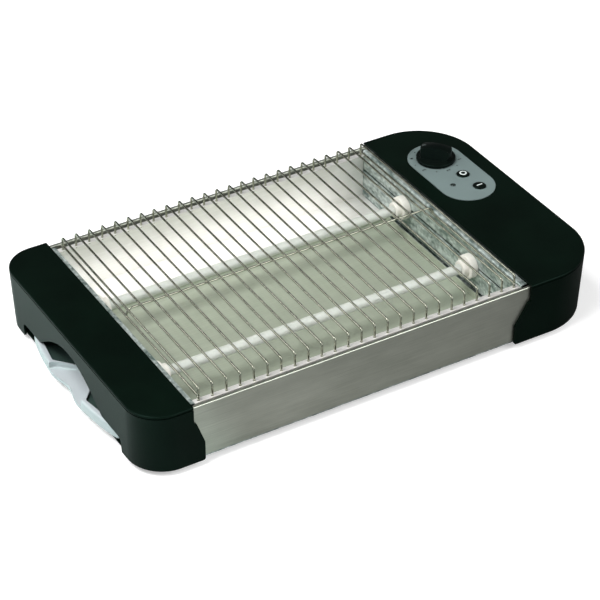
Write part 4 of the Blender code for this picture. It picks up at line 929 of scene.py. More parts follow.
@dataclass
class LeftCap(EndCap):
    """The left cap, with its raised lower edge and the finger pocket over the tray's handle."""

    side: int = LEFT
    width: float = 0.0435
    radius: float = 0.028
    flare: float = 0.0090
    notch_half: float = 0.087
    notch_top: float = 0.0180
    notch_corner: float = 0.005
    arch_half: float = 0.0562
    arch_rise: float = 0.0253
    arch_power: float = 1.15
    arch_steps: int = 32
    pocket_depth: float = 0.018
    pocket_wall: float = 0.0018
    pocket_back_share: float = 0.94
    pocket_lift: float = 0.0002
    pocket_steps: int = 10

    def bell(self, start: float, end: float, margin: float, bottom: float) -> Shape:
        """The finger pocket as a solid.

        Args:
            start: Its depth from the end wall at its mouth.
            end: Its depth at its back.
            margin: How much larger it is than the pocket's inside.
            bottom: The level of its underside.

        Returns:
            The solid.
        """
        shape = bmesh.new()
        half = self.arch_half + margin
        rise = self.arch_rise + margin
        shares = [1 - step / self.arch_steps for step in range(2 * self.arch_steps + 1)]
        ring = [(-half, bottom), (half, bottom)]
        ring += [(half * share, self.notch_top + self.pocket_lift
                  + rise * (1 - share ** 2) ** self.arch_power) for share in shares]
        face = shape.faces.new([shape.verts.new((self.outer_x + start, y, z)) for y, z in ring])
        pivot = Matrix.Translation((0.0, 0.0, -self.notch_top))
        advance = (end - start) / self.pocket_steps
        last = 1.0
        for step in range(1, self.pocket_steps + 1):
            following = math.sqrt(1 - (self.pocket_back_share * step / self.pocket_steps) ** 2)
            face = drawn_out(shape, face)
            bmesh.ops.translate(shape, vec=(advance, 0.0, 0.0), verts=face.verts[:])
            bmesh.ops.scale(shape, vec=(1.0, following / last, following / last),
                            verts=face.verts[:], space=pivot)
            last = following
        slope = self.draft / (LEVELS.cap_top - LEVELS.foot)
        lean = Matrix(((1, 0, -slope, LEVELS.cap_top * slope), (0, 1, 0, 0), (0, 0, 1, 0),
                       (0, 0, 0, 1)))
        bmesh.ops.recalc_face_normals(shape, faces=shape.faces)
        return moved(shape, lean)

    def notch(self) -> Shape:
        """What is taken out under the raised lower edge."""
        corners = [Corner(-self.notch_half, LEVELS.floor), Corner(self.notch_half, LEVELS.floor),
                   Corner(self.notch_half, self.notch_top, self.notch_corner),
                   Corner(-self.notch_half, self.notch_top, self.notch_corner)]
        return moved(plate_shape(corners, self.outer_x - LEVELS.overrun,
                                 self.outer_x + self.draft + LEVELS.cap_wall + LEVELS.overrun),
                     crosswise())

    def build(self, bench: Bench) -> None:
        """Builds the left cap."""
        skin = self.bell(LEVELS.cap_wall / 2, self.pocket_depth + self.pocket_wall,
                         self.pocket_wall, self.notch_top)
        mouth = self.bell(-LEVELS.overrun, self.pocket_depth, 0.0, LEVELS.floor)
        shape = carved_shape(self.shell(), [mouth, self.notch()], [skin])
        bench.add("left_cap_shell", shape, Look.BLACK_ABS, Slot.BLACK_PLASTIC, ["left_end_cap"],
                  edge=self.edge)


@dataclass(frozen=True)
class ControlPlaces:
    """Where the controls stand on the panel, and the sizes of their holes."""

    panel: Point2 = (0.177586, 0.0475)
    knob: Point2 = (0.177586, 0.0715)
    off_button: Point2 = (0.184086, 0.0388)
    start_button: Point2 = (0.185786, 0.0162)
    lens: Point2 = (0.167386, 0.0292)
    top: float = 0.0589
    thickness: float = 0.0013
    bush_radius: float = 0.0051
    button_radius: float = 0.0059
    half_width: float = 0.0245
    half_length: float = 0.0485
    end_flat: float = 0.002 * MM
    end_steps: int = 24

    def stadium(self, margin: float, low: float, high: float) -> Shape:
        """A solid of the panel's outline, grown by a margin, between two levels."""
        half_width = self.half_width + margin
        return plate_shape(oblong(half_width, self.half_length + margin,
                                  half_width - self.end_flat, self.panel),
                           low, high, self.end_steps)

    def holes(self, lens_radius: float, low: float, high: float,
              steps: int = Steps.HOLE) -> list[Shape]:
        """What the controls' holes take out between two levels.

        Args:
            lens_radius: The radius of the lens's hole.
            low: The lower level.
            high: The upper level.
            steps: The faces round a hole.

        Returns:
            The solids.
        """
        holes = ((self.off_button, self.button_radius), (self.start_button, self.button_radius),
                 (self.knob, self.bush_radius), (self.lens, lens_radius))
        return [round_bar(radius, low, high, (*place, 0.0), steps=steps)
                for place, radius in holes]


@dataclass
class RightCap(EndCap):
    """The right cap, with the panel's recess, the controls' holes and the gland's hole."""

    side: int = RIGHT
    width: float = 0.0785
    radius: float = 0.053
    flare: float = 0.0140
    lens_radius: float = 0.0038
    gland_radius: float = 0.0063

    def build(self, bench: Bench, places: ControlPlaces, gland: Point2) -> None:
        """Builds the right cap.

        Args:
            bench: Where pieces are made.
            places: The controls' places.
            gland: The gland's place along the rear wall and its height.
        """
        high = LEVELS.cap_top + LEVELS.overrun
        low = places.top - places.thickness - LEVELS.seat
        cuts = [places.stadium(LEVELS.seat, low, high)]
        cuts += places.holes(self.lens_radius, LEVELS.cap_underside - LEVELS.overrun, high)
        cuts.append(round_bar(self.gland_radius, -LEVELS.overrun, LEVELS.overrun,
                              (gland[0], LEVELS.cap_half_depth, gland[1]), "Y"))
        bench.add("right_cap_shell", carved_shape(self.shell(), cuts), Look.BLACK_ABS,
                  Slot.BLACK_PLASTIC, ["right_end_cap"], edge=self.edge)


@dataclass
class ToastRack:
    """The wire grid that the bread lies on: bent wires, a cross wire and two side wires."""

    wires: int = 25
    pitch: float = 0.012
    radius: float = 0.0009
    half_depth: float = 0.1163
    bend: float = 0.0025
    leg: float = 0.0040
    side_rise: float = 0.0011
    cross_bend: float = 0.0060
    weld_sink: float = 0.0003
    weld_share: float = 1.35
    weld_shares: Point3 = (1.15, 1.0, 0.55)
    weld_rise_share: float = 0.8

    def bent_run(self, reach: Point2, level: float, bend: float, foot: float) -> list[Point2]:
        """A straight run at a level, bent down at each end to its foot.

        Args:
            reach: Where it starts and where it ends.
            level: The level of its middle line.
            bend: The radius of its bends.
            foot: The level of its ends.

        Returns:
            Its points.
        """
        low, high = reach
        return [(low, foot), *bend_points((low + bend, level - bend), bend, 180, 90),
                *bend_points((high - bend, level - bend), bend, 90, 0), (high, foot)]

    def weld(self, place: Point3) -> Shape:
        """The squeezed bead where two wires are spot-welded."""
        shape = bmesh.new()
        squeeze = Matrix.Diagonal((*self.weld_shares, 1.0))
        bmesh.ops.create_icosphere(shape, subdivisions=2, radius=self.radius * self.weld_share,
                                   matrix=Matrix.Translation(place) @ squeeze)
        return shape

    def build(self, bench: Bench) -> None:
        """Builds the rack."""
        first = LEVELS.chamber_x - (self.wires - 1) / 2 * self.pitch
        places = [first + index * self.pitch for index in range(self.wires)]
        ends = (places[0], places[-1])
        side_z = LEVELS.steel_top + self.side_rise + self.radius
        cross_z = LEVELS.rack_top - 2 * self.radius + self.weld_sink
        cross_y = 2 * self.radius
        reach = self.half_depth + self.radius / 2
        run = self.bent_run((-self.half_depth, self.half_depth), LEVELS.rack_top, self.bend,
                            LEVELS.steel_top - self.leg)
        paths = [[(x, y, z) for y, z in run] for x in places]
        paths += [[(x, -reach, side_z), (x, reach, side_z)] for x in ends]
        run = self.bent_run(ends, cross_z, self.cross_bend, side_z - self.radius / 2)
        paths.append([(x, cross_y, z) for x, z in run])
        parts = [swept_shape(path, self.radius) for path in paths]
        weld_z = cross_z + self.radius * self.weld_rise_share
        parts += [self.weld((x, cross_y, weld_z)) for x in places[1:-1]]
        parts += [self.weld((x, y, side_z)) for x in ends
                  for y in (-self.half_depth, self.half_depth, cross_y)]
        bench.add("wire_rack", joined_shape(parts), Look.WIRE, Slot.CHROMED_WIRE,
                  ["toast_rack"], sharp=60.0)


@dataclass
class Heaters:
    """Two milky quartz tubes, each in a turned ceramic at both ends."""

    tube_y: float = 0.051
    tube_radius: float = 0.00425
    bore_radius: float = 0.0031
    seat_depth: float = 0.0070
    face: float = 0.1484
    disc_radius: float = 0.0105
    disc_length: float = 0.0070
    nose_radius: float = 0.0070
    nose_length: float = 0.0050
    neck_radius: float = 0.0055
    neck_length: float = 0.0035
    pin_bore: float = 0.0015
    edge: float = 0.0010
    edge_steps: int = 4

    def eased(self, height: float, radius: float) -> list[Point2]:
        """The rounded edge of a disc whose face lies at a height."""
        ease = self.edge
        return [(across, along) for along, across in
                bend_points((height + ease, radius - ease), ease, 90, 180, self.edge_steps)]

    def holder(self) -> Shape:
        """A ceramic, turned about Z with its nose towards the chamber's middle."""
        disc = self.face - self.disc_length
        nose = disc - self.nose_length
        seat = nose + self.seat_depth + LEVELS.seat
        tail = self.face + self.neck_length
        bore = self.tube_radius + LEVELS.seat
        profile = [
            (self.neck_radius, tail), (self.neck_radius, self.face),
            (self.disc_radius - self.edge / 3, self.face),
            (self.disc_radius, self.face - self.edge / 3), *self.eased(disc, self.disc_radius),
            (self.nose_radius + self.edge / 2, disc), (self.nose_radius, disc - self.edge),
            *self.eased(nose, self.nose_radius),
            (bore, nose), (bore, seat), (self.pin_bore, seat), (self.pin_bore, tail)]
        return turned_shape(profile, closed=True)

    def tube(self) -> Shape:
        """A quartz tube with fire-polished ends."""
        half = self.face - self.disc_length - self.nose_length + self.seat_depth
        melt = (self.tube_radius - self.bore_radius) / 3
        lower = [(self.bore_radius, -half + melt), (self.bore_radius + melt, -half),
                 (self.tube_radius - melt, -half), (self.tube_radius, -half + melt)]
        upper = [(radius, -height) for radius, height in reversed(lower)]
        return turned_shape(lower + upper, Steps.HOLE, closed=True)

    def build(self, bench: Bench) -> None:
        """Builds the tubes and their ceramics."""
        for end, row in ROWS:
            place = (LEVELS.chamber_x, end * self.tube_y, LEVELS.tube_z)
            bench.add(row + "_milky_tube", moved(self.tube(), turn_to("X", place)), Look.QUARTZ,
                      Slot.QUARTZ, [row + "_quartz_tube"])
            for axis, side in (("-X", "left"), ("X", "right")):
                bench.add(f"{row}_{side}_holder", moved(self.holder(), turn_to(axis, place)),
                          Look.STEATITE, Slot.CERAMIC, [f"{row}_{side}_ceramic"])


@dataclass
class EndPlates:
    """The upper end walls of the chamber: a bent flange on top and a hem over an open seam."""

    tube_y: float
    offset: float = 0.1495
    sheet: float = 0.0008
    flange: float = 0.0085
    bend: float = 0.0014
    seam: float = 0.0011
    hem: float = 0.0022
    half_depth: float = 0.1196
    hole_radius: float = 0.0058

    def outline(self, side: int) -> list[Corner]:
        """The sheet's section in XZ."""
        low = LEVELS.tube_z + self.seam
        top = LEVELS.steel_top
        inner = self.offset - self.sheet
        inside_bend = self.bend - self.sheet
        section = [(inner, low, self.bend), (self.offset + self.hem, low, 0.0),
                   (self.offset + self.hem, low + self.sheet, 0.0),
                   (self.offset, low + self.sheet, inside_bend),
                   (self.offset, top - self.sheet, inside_bend),
                   (self.offset + self.flange, top - self.sheet, 0.0),
                   (self.offset + self.flange, top, 0.0), (inner, top, self.bend)]
        return [Corner(LEVELS.chamber_x + side * x, z, radius)
                for x, z, radius in section[::side]]

    def build(self, bench: Bench) -> None:
        """Builds both plates, each with the two holes that its ceramics sit in."""
        reach = (-self.half_depth, self.half_depth)
        for side, name in SIDES:
            sheet = plate_shape(self.outline(side), *reach, segments=6)
            start = LEVELS.chamber_x + side * self.offset - self.flange
            holes = [round_bar(self.hole_radius, 0.0, 2 * self.flange,
                               (start, end * self.tube_y, LEVELS.tube_z), "X")
                     for end in (FRONT, REAR)]
            bench.add(name + "_flanged_plate", carved_shape(moved(sheet, upright(*reach)), holes),
                      Look.GALVANISED, Slot.GALVANISED, [name + "_upper_plate"])


@dataclass
class ControlPanel:
    """The grey panel with its rim, its bezels and the printed scale of the timer."""

    places: ControlPlaces
    rim: float = 0.0010
    sunk: float = 0.00022
    edge: float = 0.12 * MM
    lens_radius: float = 0.0025
    bezel: float = 0.0006
    bezel_rise: float = 0.0003
    bezel_shoulder_share: float = 0.6
    scale_radius: float = 0.0208
    marks: int = 10
    dot_radius: float = 0.0006
    digit_height: float = 0.0034
    digit_size_share: float = 1.4
    ink: float = 0.00006
    stroke: float = 0.00012
    first_mark: float = 329.0
    mark_step: float = 30.1

    @property
    def face(self) -> float:
        """The level of the sunk face."""
        return self.places.top - self.sunk

    def bezel_ring(self, place: Point2) -> Shape:
        """A raised ring round a button."""
        radius = self.places.button_radius
        high = self.face + self.bezel_rise
        low = self.face - self.bezel_rise
        profile = [(radius, low), (radius + self.bezel, low), (radius + self.bezel, self.face),
                   (radius + self.bezel * self.bezel_shoulder_share, high), (radius, high)]
        return moved(turned_shape(profile, closed=True), at(place))

    def plate(self) -> Shape:
        """The panel's plate, its face sunk inside the rim and cut for the controls."""
        places = self.places
        low = places.top - places.thickness
        high = places.top + places.thickness
        cuts = [places.stadium(-self.rim, self.face, high)]
        cuts += places.holes(self.lens_radius, low - places.thickness, high, Steps.PANEL)
        plate = carved_shape(places.stadium(0.0, low, places.top), cuts)
        return joined_shape([plate, self.bezel_ring(places.off_button),
                             self.bezel_ring(places.start_button)])

    def digit(self, number: int, place: Point2) -> Shape:
        """A plain printed number, to be read from the right end of the toaster."""
        text = bpy.data.curves.new("digit", "FONT")
        text.body = str(number)
        text.size = self.digit_height * self.digit_size_share
        text.align_x = "CENTER"
        text.align_y = "CENTER"
        text.extrude = self.ink / 2
        text.offset = self.stroke
        text.resolution_u = 4
        item = placed_object("digit", text)
        mesh = bpy.data.meshes.new_from_object(item)
        shape = bmesh.new()
        shape.from_mesh(mesh)
        bpy.data.objects.remove(item)
        bpy.data.curves.remove(text)
        bpy.data.meshes.remove(mesh)
        bmesh.ops.remove_doubles(shape, verts=shape.verts, dist=MERGE)
        turn = Matrix.Rotation(math.pi / 2, 4, "Z")
        return moved(shape, at(place, self.face + self.ink / 2) @ turn)

    def scale(self) -> Shape:
        """The printed scale: numbers with dots between them."""
        marks = []
        for index in range(self.marks):
            turn = math.radians(self.first_mark - index * self.mark_step)
            place = (self.places.knob[0] + self.scale_radius * math.cos(turn),
                     self.places.knob[1] + self.scale_radius * math.sin(turn))
            if index % 2:
                marks.append(round_bar(self.dot_radius, self.face - self.ink,
                                       self.face + self.ink, (*place, 0.0), steps=Steps.PANEL))
            else:
                marks.append(self.digit(index // 2 + 1, place))
        return joined_shape(marks)

    def build(self, bench: Bench) -> None:
        """Builds the panel and its scale."""
        bench.add("panel_plate", self.plate(), Look.PANEL_ABS, Slot.PANEL_GREY,
                  ["control_panel"], edge=self.edge)
        bench.add("printed_scale", self.scale(), Look.INK, sharp=30.0)


@dataclass
class TimerKnob:
    """The timer knob: a flat round skirt and a crowned grip bar between two leaning sides."""

    places: ControlPlaces
    base: float = 0.0592
    skirt_radius: float = 0.0172
    skirt_height: float = 0.0028
    drum_radius: float = 0.0138
    height: float = 0.0134
    crown: float = 0.0028
    crown_steps: int = 12
    foot_half: float = 0.0080
    lean: float = 0.33
    cut_share: float = 1.5
    ease: float = 0.0012
    edge: float = 0.35 * MM
    pointer_degrees: float = 132.0
    shaft_radius: float = 0.0033
    shaft_seat: float = 0.0080
    bush_radius: float = 0.0054
    bush_depth: float = 0.0013
    mark_half: float = 0.00035
    mark_length: float = 0.0034
    mark_depth: float = 0.00008
    mark_cuts: int = 4

    def crown_height(self, radius: float) -> float:
        """The height of the crowned top at a radius."""
        return self.height - self.crown * (radius / self.drum_radius) ** 2

    def side_cut(self, side: int) -> Shape:
        """What is taken away beside the bar: its inner face leans over the bar."""
        reach = self.skirt_radius * self.cut_share
        cut = box_shape((-reach, self.foot_half, self.skirt_height), (reach, reach, reach))
        for vert in cut.verts:
            rise = vert.co.z - self.skirt_height
            if vert.co.y < (self.foot_half + reach) / 2:
                vert.co.y = self.foot_half - self.lean * rise
        return cut if side > 0 else moved(cut, Matrix.Rotation(math.pi, 4, "Z"))

    def body(self) -> Shape:
        """The knob about its own axis, its grip bar along X."""
        ease = self.ease
        inner = self.drum_radius - ease
        radii = [inner * step / self.crown_steps for step in range(self.crown_steps)]
        profile = [
            *((radius, self.crown_height(radius)) for radius in radii),
            *bend_points((inner, self.crown_height(inner) - ease), ease, 82, 0, steps=6),
            *bend_points((self.drum_radius + ease / 2, self.skirt_height + ease / 2), ease / 2,
                         180, 270, steps=4),
            *bend_points((self.skirt_radius - ease / 2, self.skirt_height - ease / 2), ease / 2,
                         90, 0, steps=4),
            (self.skirt_radius, ease / 4), (self.skirt_radius - ease / 4, 0.0), (0.0, 0.0)]
        bore = [(0.0, -ease), (self.bush_radius, -ease), (self.bush_radius, self.bush_depth),
                (self.shaft_radius, self.bush_depth), (self.shaft_radius, self.shaft_seat),
                (0.0, self.shaft_seat)]
        return carved_shape(turned_shape(profile, Steps.KNOB), [
            self.side_cut(-1), self.side_cut(1), turned_shape(bore, Steps.HOLE)])

    def pointer(self) -> Shape:
        """The printed mark at the bar's end, which follows the crown."""
        end = self.drum_radius - self.ease
        mark = box_shape((end - self.mark_length, -self.mark_half, 0.0),
                         (end, self.mark_half, 2 * self.mark_depth))
        return crown_over(mark, self.mark_length / 2, self.mark_cuts, self.crown_height,
                          self.mark_depth)

    def build(self, bench: Bench) -> None:
        """Builds the knob and its pointer mark."""
        place = at(self.places.knob, self.base)
        place = place @ Matrix.Rotation(math.radians(self.pointer_degrees), 4, "Z")
        bench.add("grip_knob", moved(self.body(), place), Look.KNOB_ABS, Slot.BLACK_PLASTIC,
                  ["timer_knob"], Body.KNOB, edge=self.edge)
        bench.add("pointer_mark", moved(self.pointer(), place), Look.GREY_INK, body=Body.KNOB)


@dataclass
class PushButtons:
    """The off and start buttons with their symbols, and the indicator's lens."""

    places: ControlPlaces
    top: float = 0.0603
    radius: float = 0.0056
    flange_radius: float = 0.0072
    flange_top: float = 0.0560
    flange_height: float = 0.0012
    stem_radius: float = 0.0022
    tip: float = 0.0474
    crown: float = 0.0006
    crown_steps: int = 10
    symbol: float = 0.00008
    ring_outer: float = 0.0032
    ring_inner: float = 0.0020
    bar_half: float = 0.0028
    bar_width: float = 0.0011
    bar_corner_share: float = 0.45
    bar_cuts: int = 8
    lens_radius: float = 0.0022
    lens_rise: float = 0.0006
    lens_flange_radius: float = 0.0035
    lens_top: float = 0.0593
    lens_seat: float = 0.0573
    lens_low: float = 0.0563

    def cap_height(self, radius: float) -> float:
        """The height of a button's crowned top at a radius."""
        return self.top - self.crown * (radius / self.radius) ** 2

    def button(self) -> Shape:
        """A button about its own axis, with a crowned top, a flange and a stem."""
        ease = self.crown
        radii = [self.radius * step / self.crown_steps for step in range(self.crown_steps)]
        flange_low = self.flange_top - self.flange_height
        return turned_shape([
            *((radius, self.cap_height(radius)) for radius in radii),
            *bend_points((self.radius - ease, self.cap_height(self.radius) - ease), ease, 65, 0,
                         steps=4),
            (self.radius, self.flange_top), (self.flange_radius, self.flange_top),
            (self.flange_radius, flange_low), (self.stem_radius, flange_low),
            (self.stem_radius, self.tip), (0.0, self.tip)])

    def ring(self) -> Shape:
        """The printed ring of the off button, which follows its crown."""
        radii = (self.ring_inner, (self.ring_inner + self.ring_outer) / 2, self.ring_outer)
        upper = [(radius, self.cap_height(radius) + self.symbol) for radius in radii]
        lower = [(radius, self.cap_height(radius) - self.symbol) for radius in reversed(radii)]
        return turned_shape(upper + lower, closed=True)

    def bar(self) -> Shape:
        """The printed bar of the start button, which follows its crown."""
        corners = oblong(self.bar_half, self.bar_width / 2, self.bar_width * self.bar_corner_share)
        mark = plate_shape(corners, 0.0, 2 * self.symbol, segments=6)
        return crown_over(mark, self.bar_half, self.bar_cuts, self.cap_height, self.symbol)

    def lens(self) -> Shape:
        """The indicator's domed lens."""
        return turned_shape([
            *dome_points(self.lens_radius, self.lens_top, self.lens_rise),
            (self.lens_radius, self.lens_seat), (self.lens_flange_radius, self.lens_seat),
            (self.lens_flange_radius, self.lens_low), (0.0, self.lens_low)], Steps.HOLE)

    def build(self, bench: Bench) -> None:
        """Builds the buttons, their symbols and the lens."""
        for name, place, body, mark_name, mark in (
                ("off", self.places.off_button, Body.OFF_KEY, "off_ring", self.ring()),
                ("start", self.places.start_button, Body.START_KEY, "start_bar", self.bar())):
            bench.add(name + "_cap", moved(self.button(), at(place)), Look.KNOB_ABS,
                      Slot.BLACK_PLASTIC, [name + "_button"], body)
            bench.add(mark_name, moved(mark, at(place)), Look.WHITE_INK, body=body)
        bench.add("lamp_lens", moved(self.lens(), at(self.places.lens)), Look.LENS, Slot.LENS,
                  ["indicator_lens"])


@dataclass
class TrayHandle:
    """The tray's handle: a bowed bar round two finger wells, with an open dish between them."""

    wall: float
    low: float = 0.0082
    thickness: float = 0.0093
    half: float = 0.075
    overhang: float = 0.005
    lobe: float = 0.010
    bow_power: float = 0.8
    waist: float = 0.0042
    waist_half: float = 0.024
    depth: float = 0.0165
    bar: float = 0.0049
    tip_bar: float = 0.0042
    back_bar: float = 0.005
    well_floor: float = 0.0012
    pad: float = 0.0052
    pad_lift: float = 0.02 * MM
    web_half: float = 0.0115
    web_foot: float = 0.030
    well_end: float = 0.060
    corner: float = 0.0025
    dish_band: float = 0.0016
    dish_floor: float = 0.0022
    dish_rise: float = 0.0036
    dish_blend: float = 0.0016
    dish_bend: float = 0.010
    dish_corner: float = 0.002
    shoulder: float = 0.0018
    edge: float = 0.0005
    steps: int = 96

    @property
    def front(self) -> float:
        """Where the bowed outer edge stands out most."""
        return self.wall - self.overhang

    @property
    def high(self) -> float:
        """The level of the handle's top."""
        return self.low + self.thickness

    @property
    def back(self) -> float:
        """The handle's straight back, a clearance before the tray's front."""
        return self.front + self.lobe + self.depth - LEVELS.seat

    def outer_x(self, y: float) -> float:
        """The bowed outer edge at a place across the handle, with its drawn-in waist."""
        bow = self.lobe * (1 - min(1.0, abs(y) / self.half) ** 2) ** self.bow_power
        waist = 0.0
        if abs(y) < self.waist_half:
            waist = self.waist * math.cos(math.pi / 2 * y / self.waist_half) ** 2
        return self.front + self.lobe - bow + waist

    def bar_shape(self) -> Shape:
        """The whole handle, its outer top edge well rounded."""
        places = [self.half * (1 - 2 * step / self.steps) for step in range(self.steps + 1)]
        corners = [Corner(self.outer_x(y), y) for y in places]
        corners += [Corner(self.back, -self.half), Corner(self.back, self.half)]
        shape = plate_shape(corners, self.low, self.high)
        rim = [edge for edge in edges_at(shape, self.high)
               if all(vert.co.x < self.back - LEVELS.seat for vert in edge.verts)]
        round_off(shape, rim, self.shoulder, steps=5)
        return shape

    def well(self, end: int, inset: float, low: float, high: float) -> Shape:
        """A finger well's inside, or what lies in it.

        Args:
            end: Which side of the dish it lies on.
            inset: How far it lies inside the well's walls.
            low: The level of its underside.
            high: The level of its top.

        Returns:
            The solid.
        """
        front = self.front + self.bar + inset
        back = self.back - self.back_bar - inset
        tip = self.outer_x(self.well_end) + self.tip_bar + inset
        far = self.well_end - inset
        corners = ((front, self.web_foot + inset), (back, self.web_half + inset), (back, far),
                   (tip, far))
        return plate_shape([Corner(x, end * y, self.corner) for x, y in corners], low, high,
                           segments=10)

    def dish(self) -> Shape:
        """What is taken out for the thumb, its walls curved into a floor that rises inwards."""
        front = self.front - LEVELS.overrun
        foot = self.front + self.bar
        back = self.back - self.back_bar
        near = self.web_foot - self.dish_band
        far = self.web_half - self.dish_band
        half = [(front, near, 0.0), (foot, near, self.dish_bend), (back, far, self.dish_corner)]
        corners = [Corner(x, -y, radius) for x, y, radius in half]
        corners += [Corner(x, y, radius) for x, y, radius in reversed(half)]
        floor = self.low + self.dish_floor
        shape = plate_shape(corners, floor, self.high + self.thickness)
        rim = [edge for edge in edges_at(shape, floor)
               if any(vert.co.x > front + TOUCH for vert in edge.verts)]
        round_off(shape, rim, self.dish_blend, steps=6)
        slope = self.dish_rise / (back - front)
        lean = Matrix(((1, 0, 0, 0), (0, 1, 0, 0), (slope, 0, 1, -slope * front), (0, 0, 0, 1)))
        return moved(shape, lean)

    def build(self, bench: Bench) -> None:
        """Builds the handle and the pads in its wells. The pads are black plastic painted a
        lighter grey-teal to show light falling into the wells.
        """
        floor = self.low + self.well_floor
        cuts = [self.well(end, 0.0, floor, self.high + self.thickness) for end in (FRONT, REAR)]
        bench.add("grip_handle", carved_shape(self.bar_shape(), [*cuts, self.dish()]),
                  Look.HANDLE_ABS, Slot.HANDLE_GREY, ["tray_handle"], Body.TRAY, edge=self.edge)
        pads = [self.well(end, LEVELS.seat, floor + self.pad_lift, floor + self.pad)
                for end in (FRONT, REAR)]
        bench.add("finger_pads", joined_shape(pads), Look.PAINTED_LIT_PAD_ABS, body=Body.TRAY,
                  edge=self.edge)


@dataclass
class Underside:
    """What shows from below: rubber feet with moulded rings, and cross-head screws."""

    left_foot: Point2 = (-0.190414, 0.104)
    right_foot: Point2 = (0.186086, 0.097)
    screw_offset: float = 0.0085
    screw_y: float = 0.090
    foot_radius: float = 0.009
    foot_top: float = 0.0053
    foot_edge: float = 0.0011
    foot_stem_radius: float = 0.003
    foot_stem_top: float = 0.0155
    ring_radius: float = 0.0050
    ring_depth: float = 0.0006
    head_seat: float = 0.0053
    head_height: float = 0.0016
    head_dome_share: float = 0.7
    head_radius: float = 0.0030
    shank_radius: float = 0.0013
    shank_length: float = 0.0081
    thread_pitch: float = 0.0010
    core_share: float = 0.78
    ridge_shares: Point2 = (0.4, 0.7)
    cross_half: float = 0.0018
    cross_width: float = 0.0004
    cross_depth: float = 0.0010

    def foot(self) -> Shape:
        """A rubber foot about its own axis, with a ring pressed into its sole."""
        ease = self.foot_edge
        return turned_shape([
            (0.0, self.foot_stem_top), (self.foot_stem_radius - ease / 2, self.foot_stem_top),
            (self.foot_stem_radius, self.foot_stem_top - ease / 2),
            (self.foot_stem_radius, self.foot_top), (self.foot_radius - ease / 2, self.foot_top),
            (self.foot_radius, self.foot_top - ease / 2),
            *bend_points((self.foot_radius - ease, ease), ease, 0, -90, steps=5),
            *bend_points((self.ring_radius, 0.0), self.ring_depth, 0, 180, steps=6),
            (0.0, 0.0)])

    def screw(self) -> Shape:
        """A pan-head screw about its own axis, head down, with its thread's ridges."""
        low = self.head_seat - self.head_height
        profile = dome_points(self.head_radius, low, -self.head_height * self.head_dome_share)
        profile += [(self.head_radius, self.head_seat), (self.shank_radius, self.head_seat)]
        core = self.shank_radius * self.core_share
        for index in range(int(self.shank_length / self.thread_pitch)):
            height = self.head_seat + index * self.thread_pitch
            profile += [(radius, height + self.thread_pitch * share) for radius, share
                        in zip((core, self.shank_radius), self.ridge_shares)]
        profile += [(core, self.head_seat + self.shank_length),
                    (0.0, self.head_seat + self.shank_length + core)]
        cross = [box_shape((-x, -y, low - self.cross_depth), (x, y, low + self.cross_depth))
                 for x, y in ((self.cross_half, self.cross_width),
                              (self.cross_width, self.cross_half))]
        return carved_shape(turned_shape(profile, Steps.SCREW), cross)

    def build(self, bench: Bench) -> None:
        """Builds the feet and the base screws."""
        corners = [(f"{row}_{name}", side, end) for side, name in SIDES for end, row in ROWS]
        for name, side, end in corners:
            x, y = self.left_foot if side == LEFT else self.right_foot
            bench.add(name + "_rubber_foot", moved(self.foot(), at((x, end * y))), Look.RUBBER,
                      Slot.BLACK_RUBBER, [name + "_foot"])
        for name, side, end in corners:
            x = LEVELS.chamber_x + side * (LEVELS.chamber_half + self.screw_offset)
            bench.add(name + "_cross_screw", moved(self.screw(), at((x, end * self.screw_y))),
                      Look.PLATED, Slot.PLATED, [name + "_base_screw"])


@dataclass
class CordInlet:
    """The gland that a mains cord goes through, flush in the right cap's rear wall."""

    place: Point2 = (0.155086, 0.022)
    radius: float = 0.0060
    bore_radius: float = 0.0038
    flange_radius: float = 0.0080
    flange: float = 0.0020
    length: float = 0.0120
    edge: float = 0.0008
    groove: float = 0.0003
    groove_shares: Point3 = (0.45, 0.60, 0.75)

    def build(self, bench: Bench) -> None:
        """Builds the gland."""
        seat = -LEVELS.cap_wall - LEVELS.seat
        face = -LEVELS.seat
        profile = [
            (self.bore_radius, -self.length),
            *bend_points((self.bore_radius + self.edge, face - self.edge), self.edge, 180, 90,
                         steps=5),
            (self.radius - self.edge / 2, face), (self.radius, face - self.edge / 2),
            (self.radius, seat), (self.flange_radius, seat),
            (self.flange_radius, seat - self.flange), (self.radius, seat - self.flange)]
        for share in self.groove_shares:
            height = -self.length * share
            profile += [(self.radius, height), (self.radius - self.groove, height - self.groove),
                        (self.radius, height - 2 * self.groove)]
        profile.append((self.radius, -self.length))
        place = (self.place[0], LEVELS.cap_half_depth, self.place[1])
        gland = moved(turned_shape(profile, Steps.PANEL, closed=True), turn_to("Y", place))
        bench.add("cord_gland", gland, Look.RUBBER, Slot.BLACK_PLASTIC, ["cable_gland"])


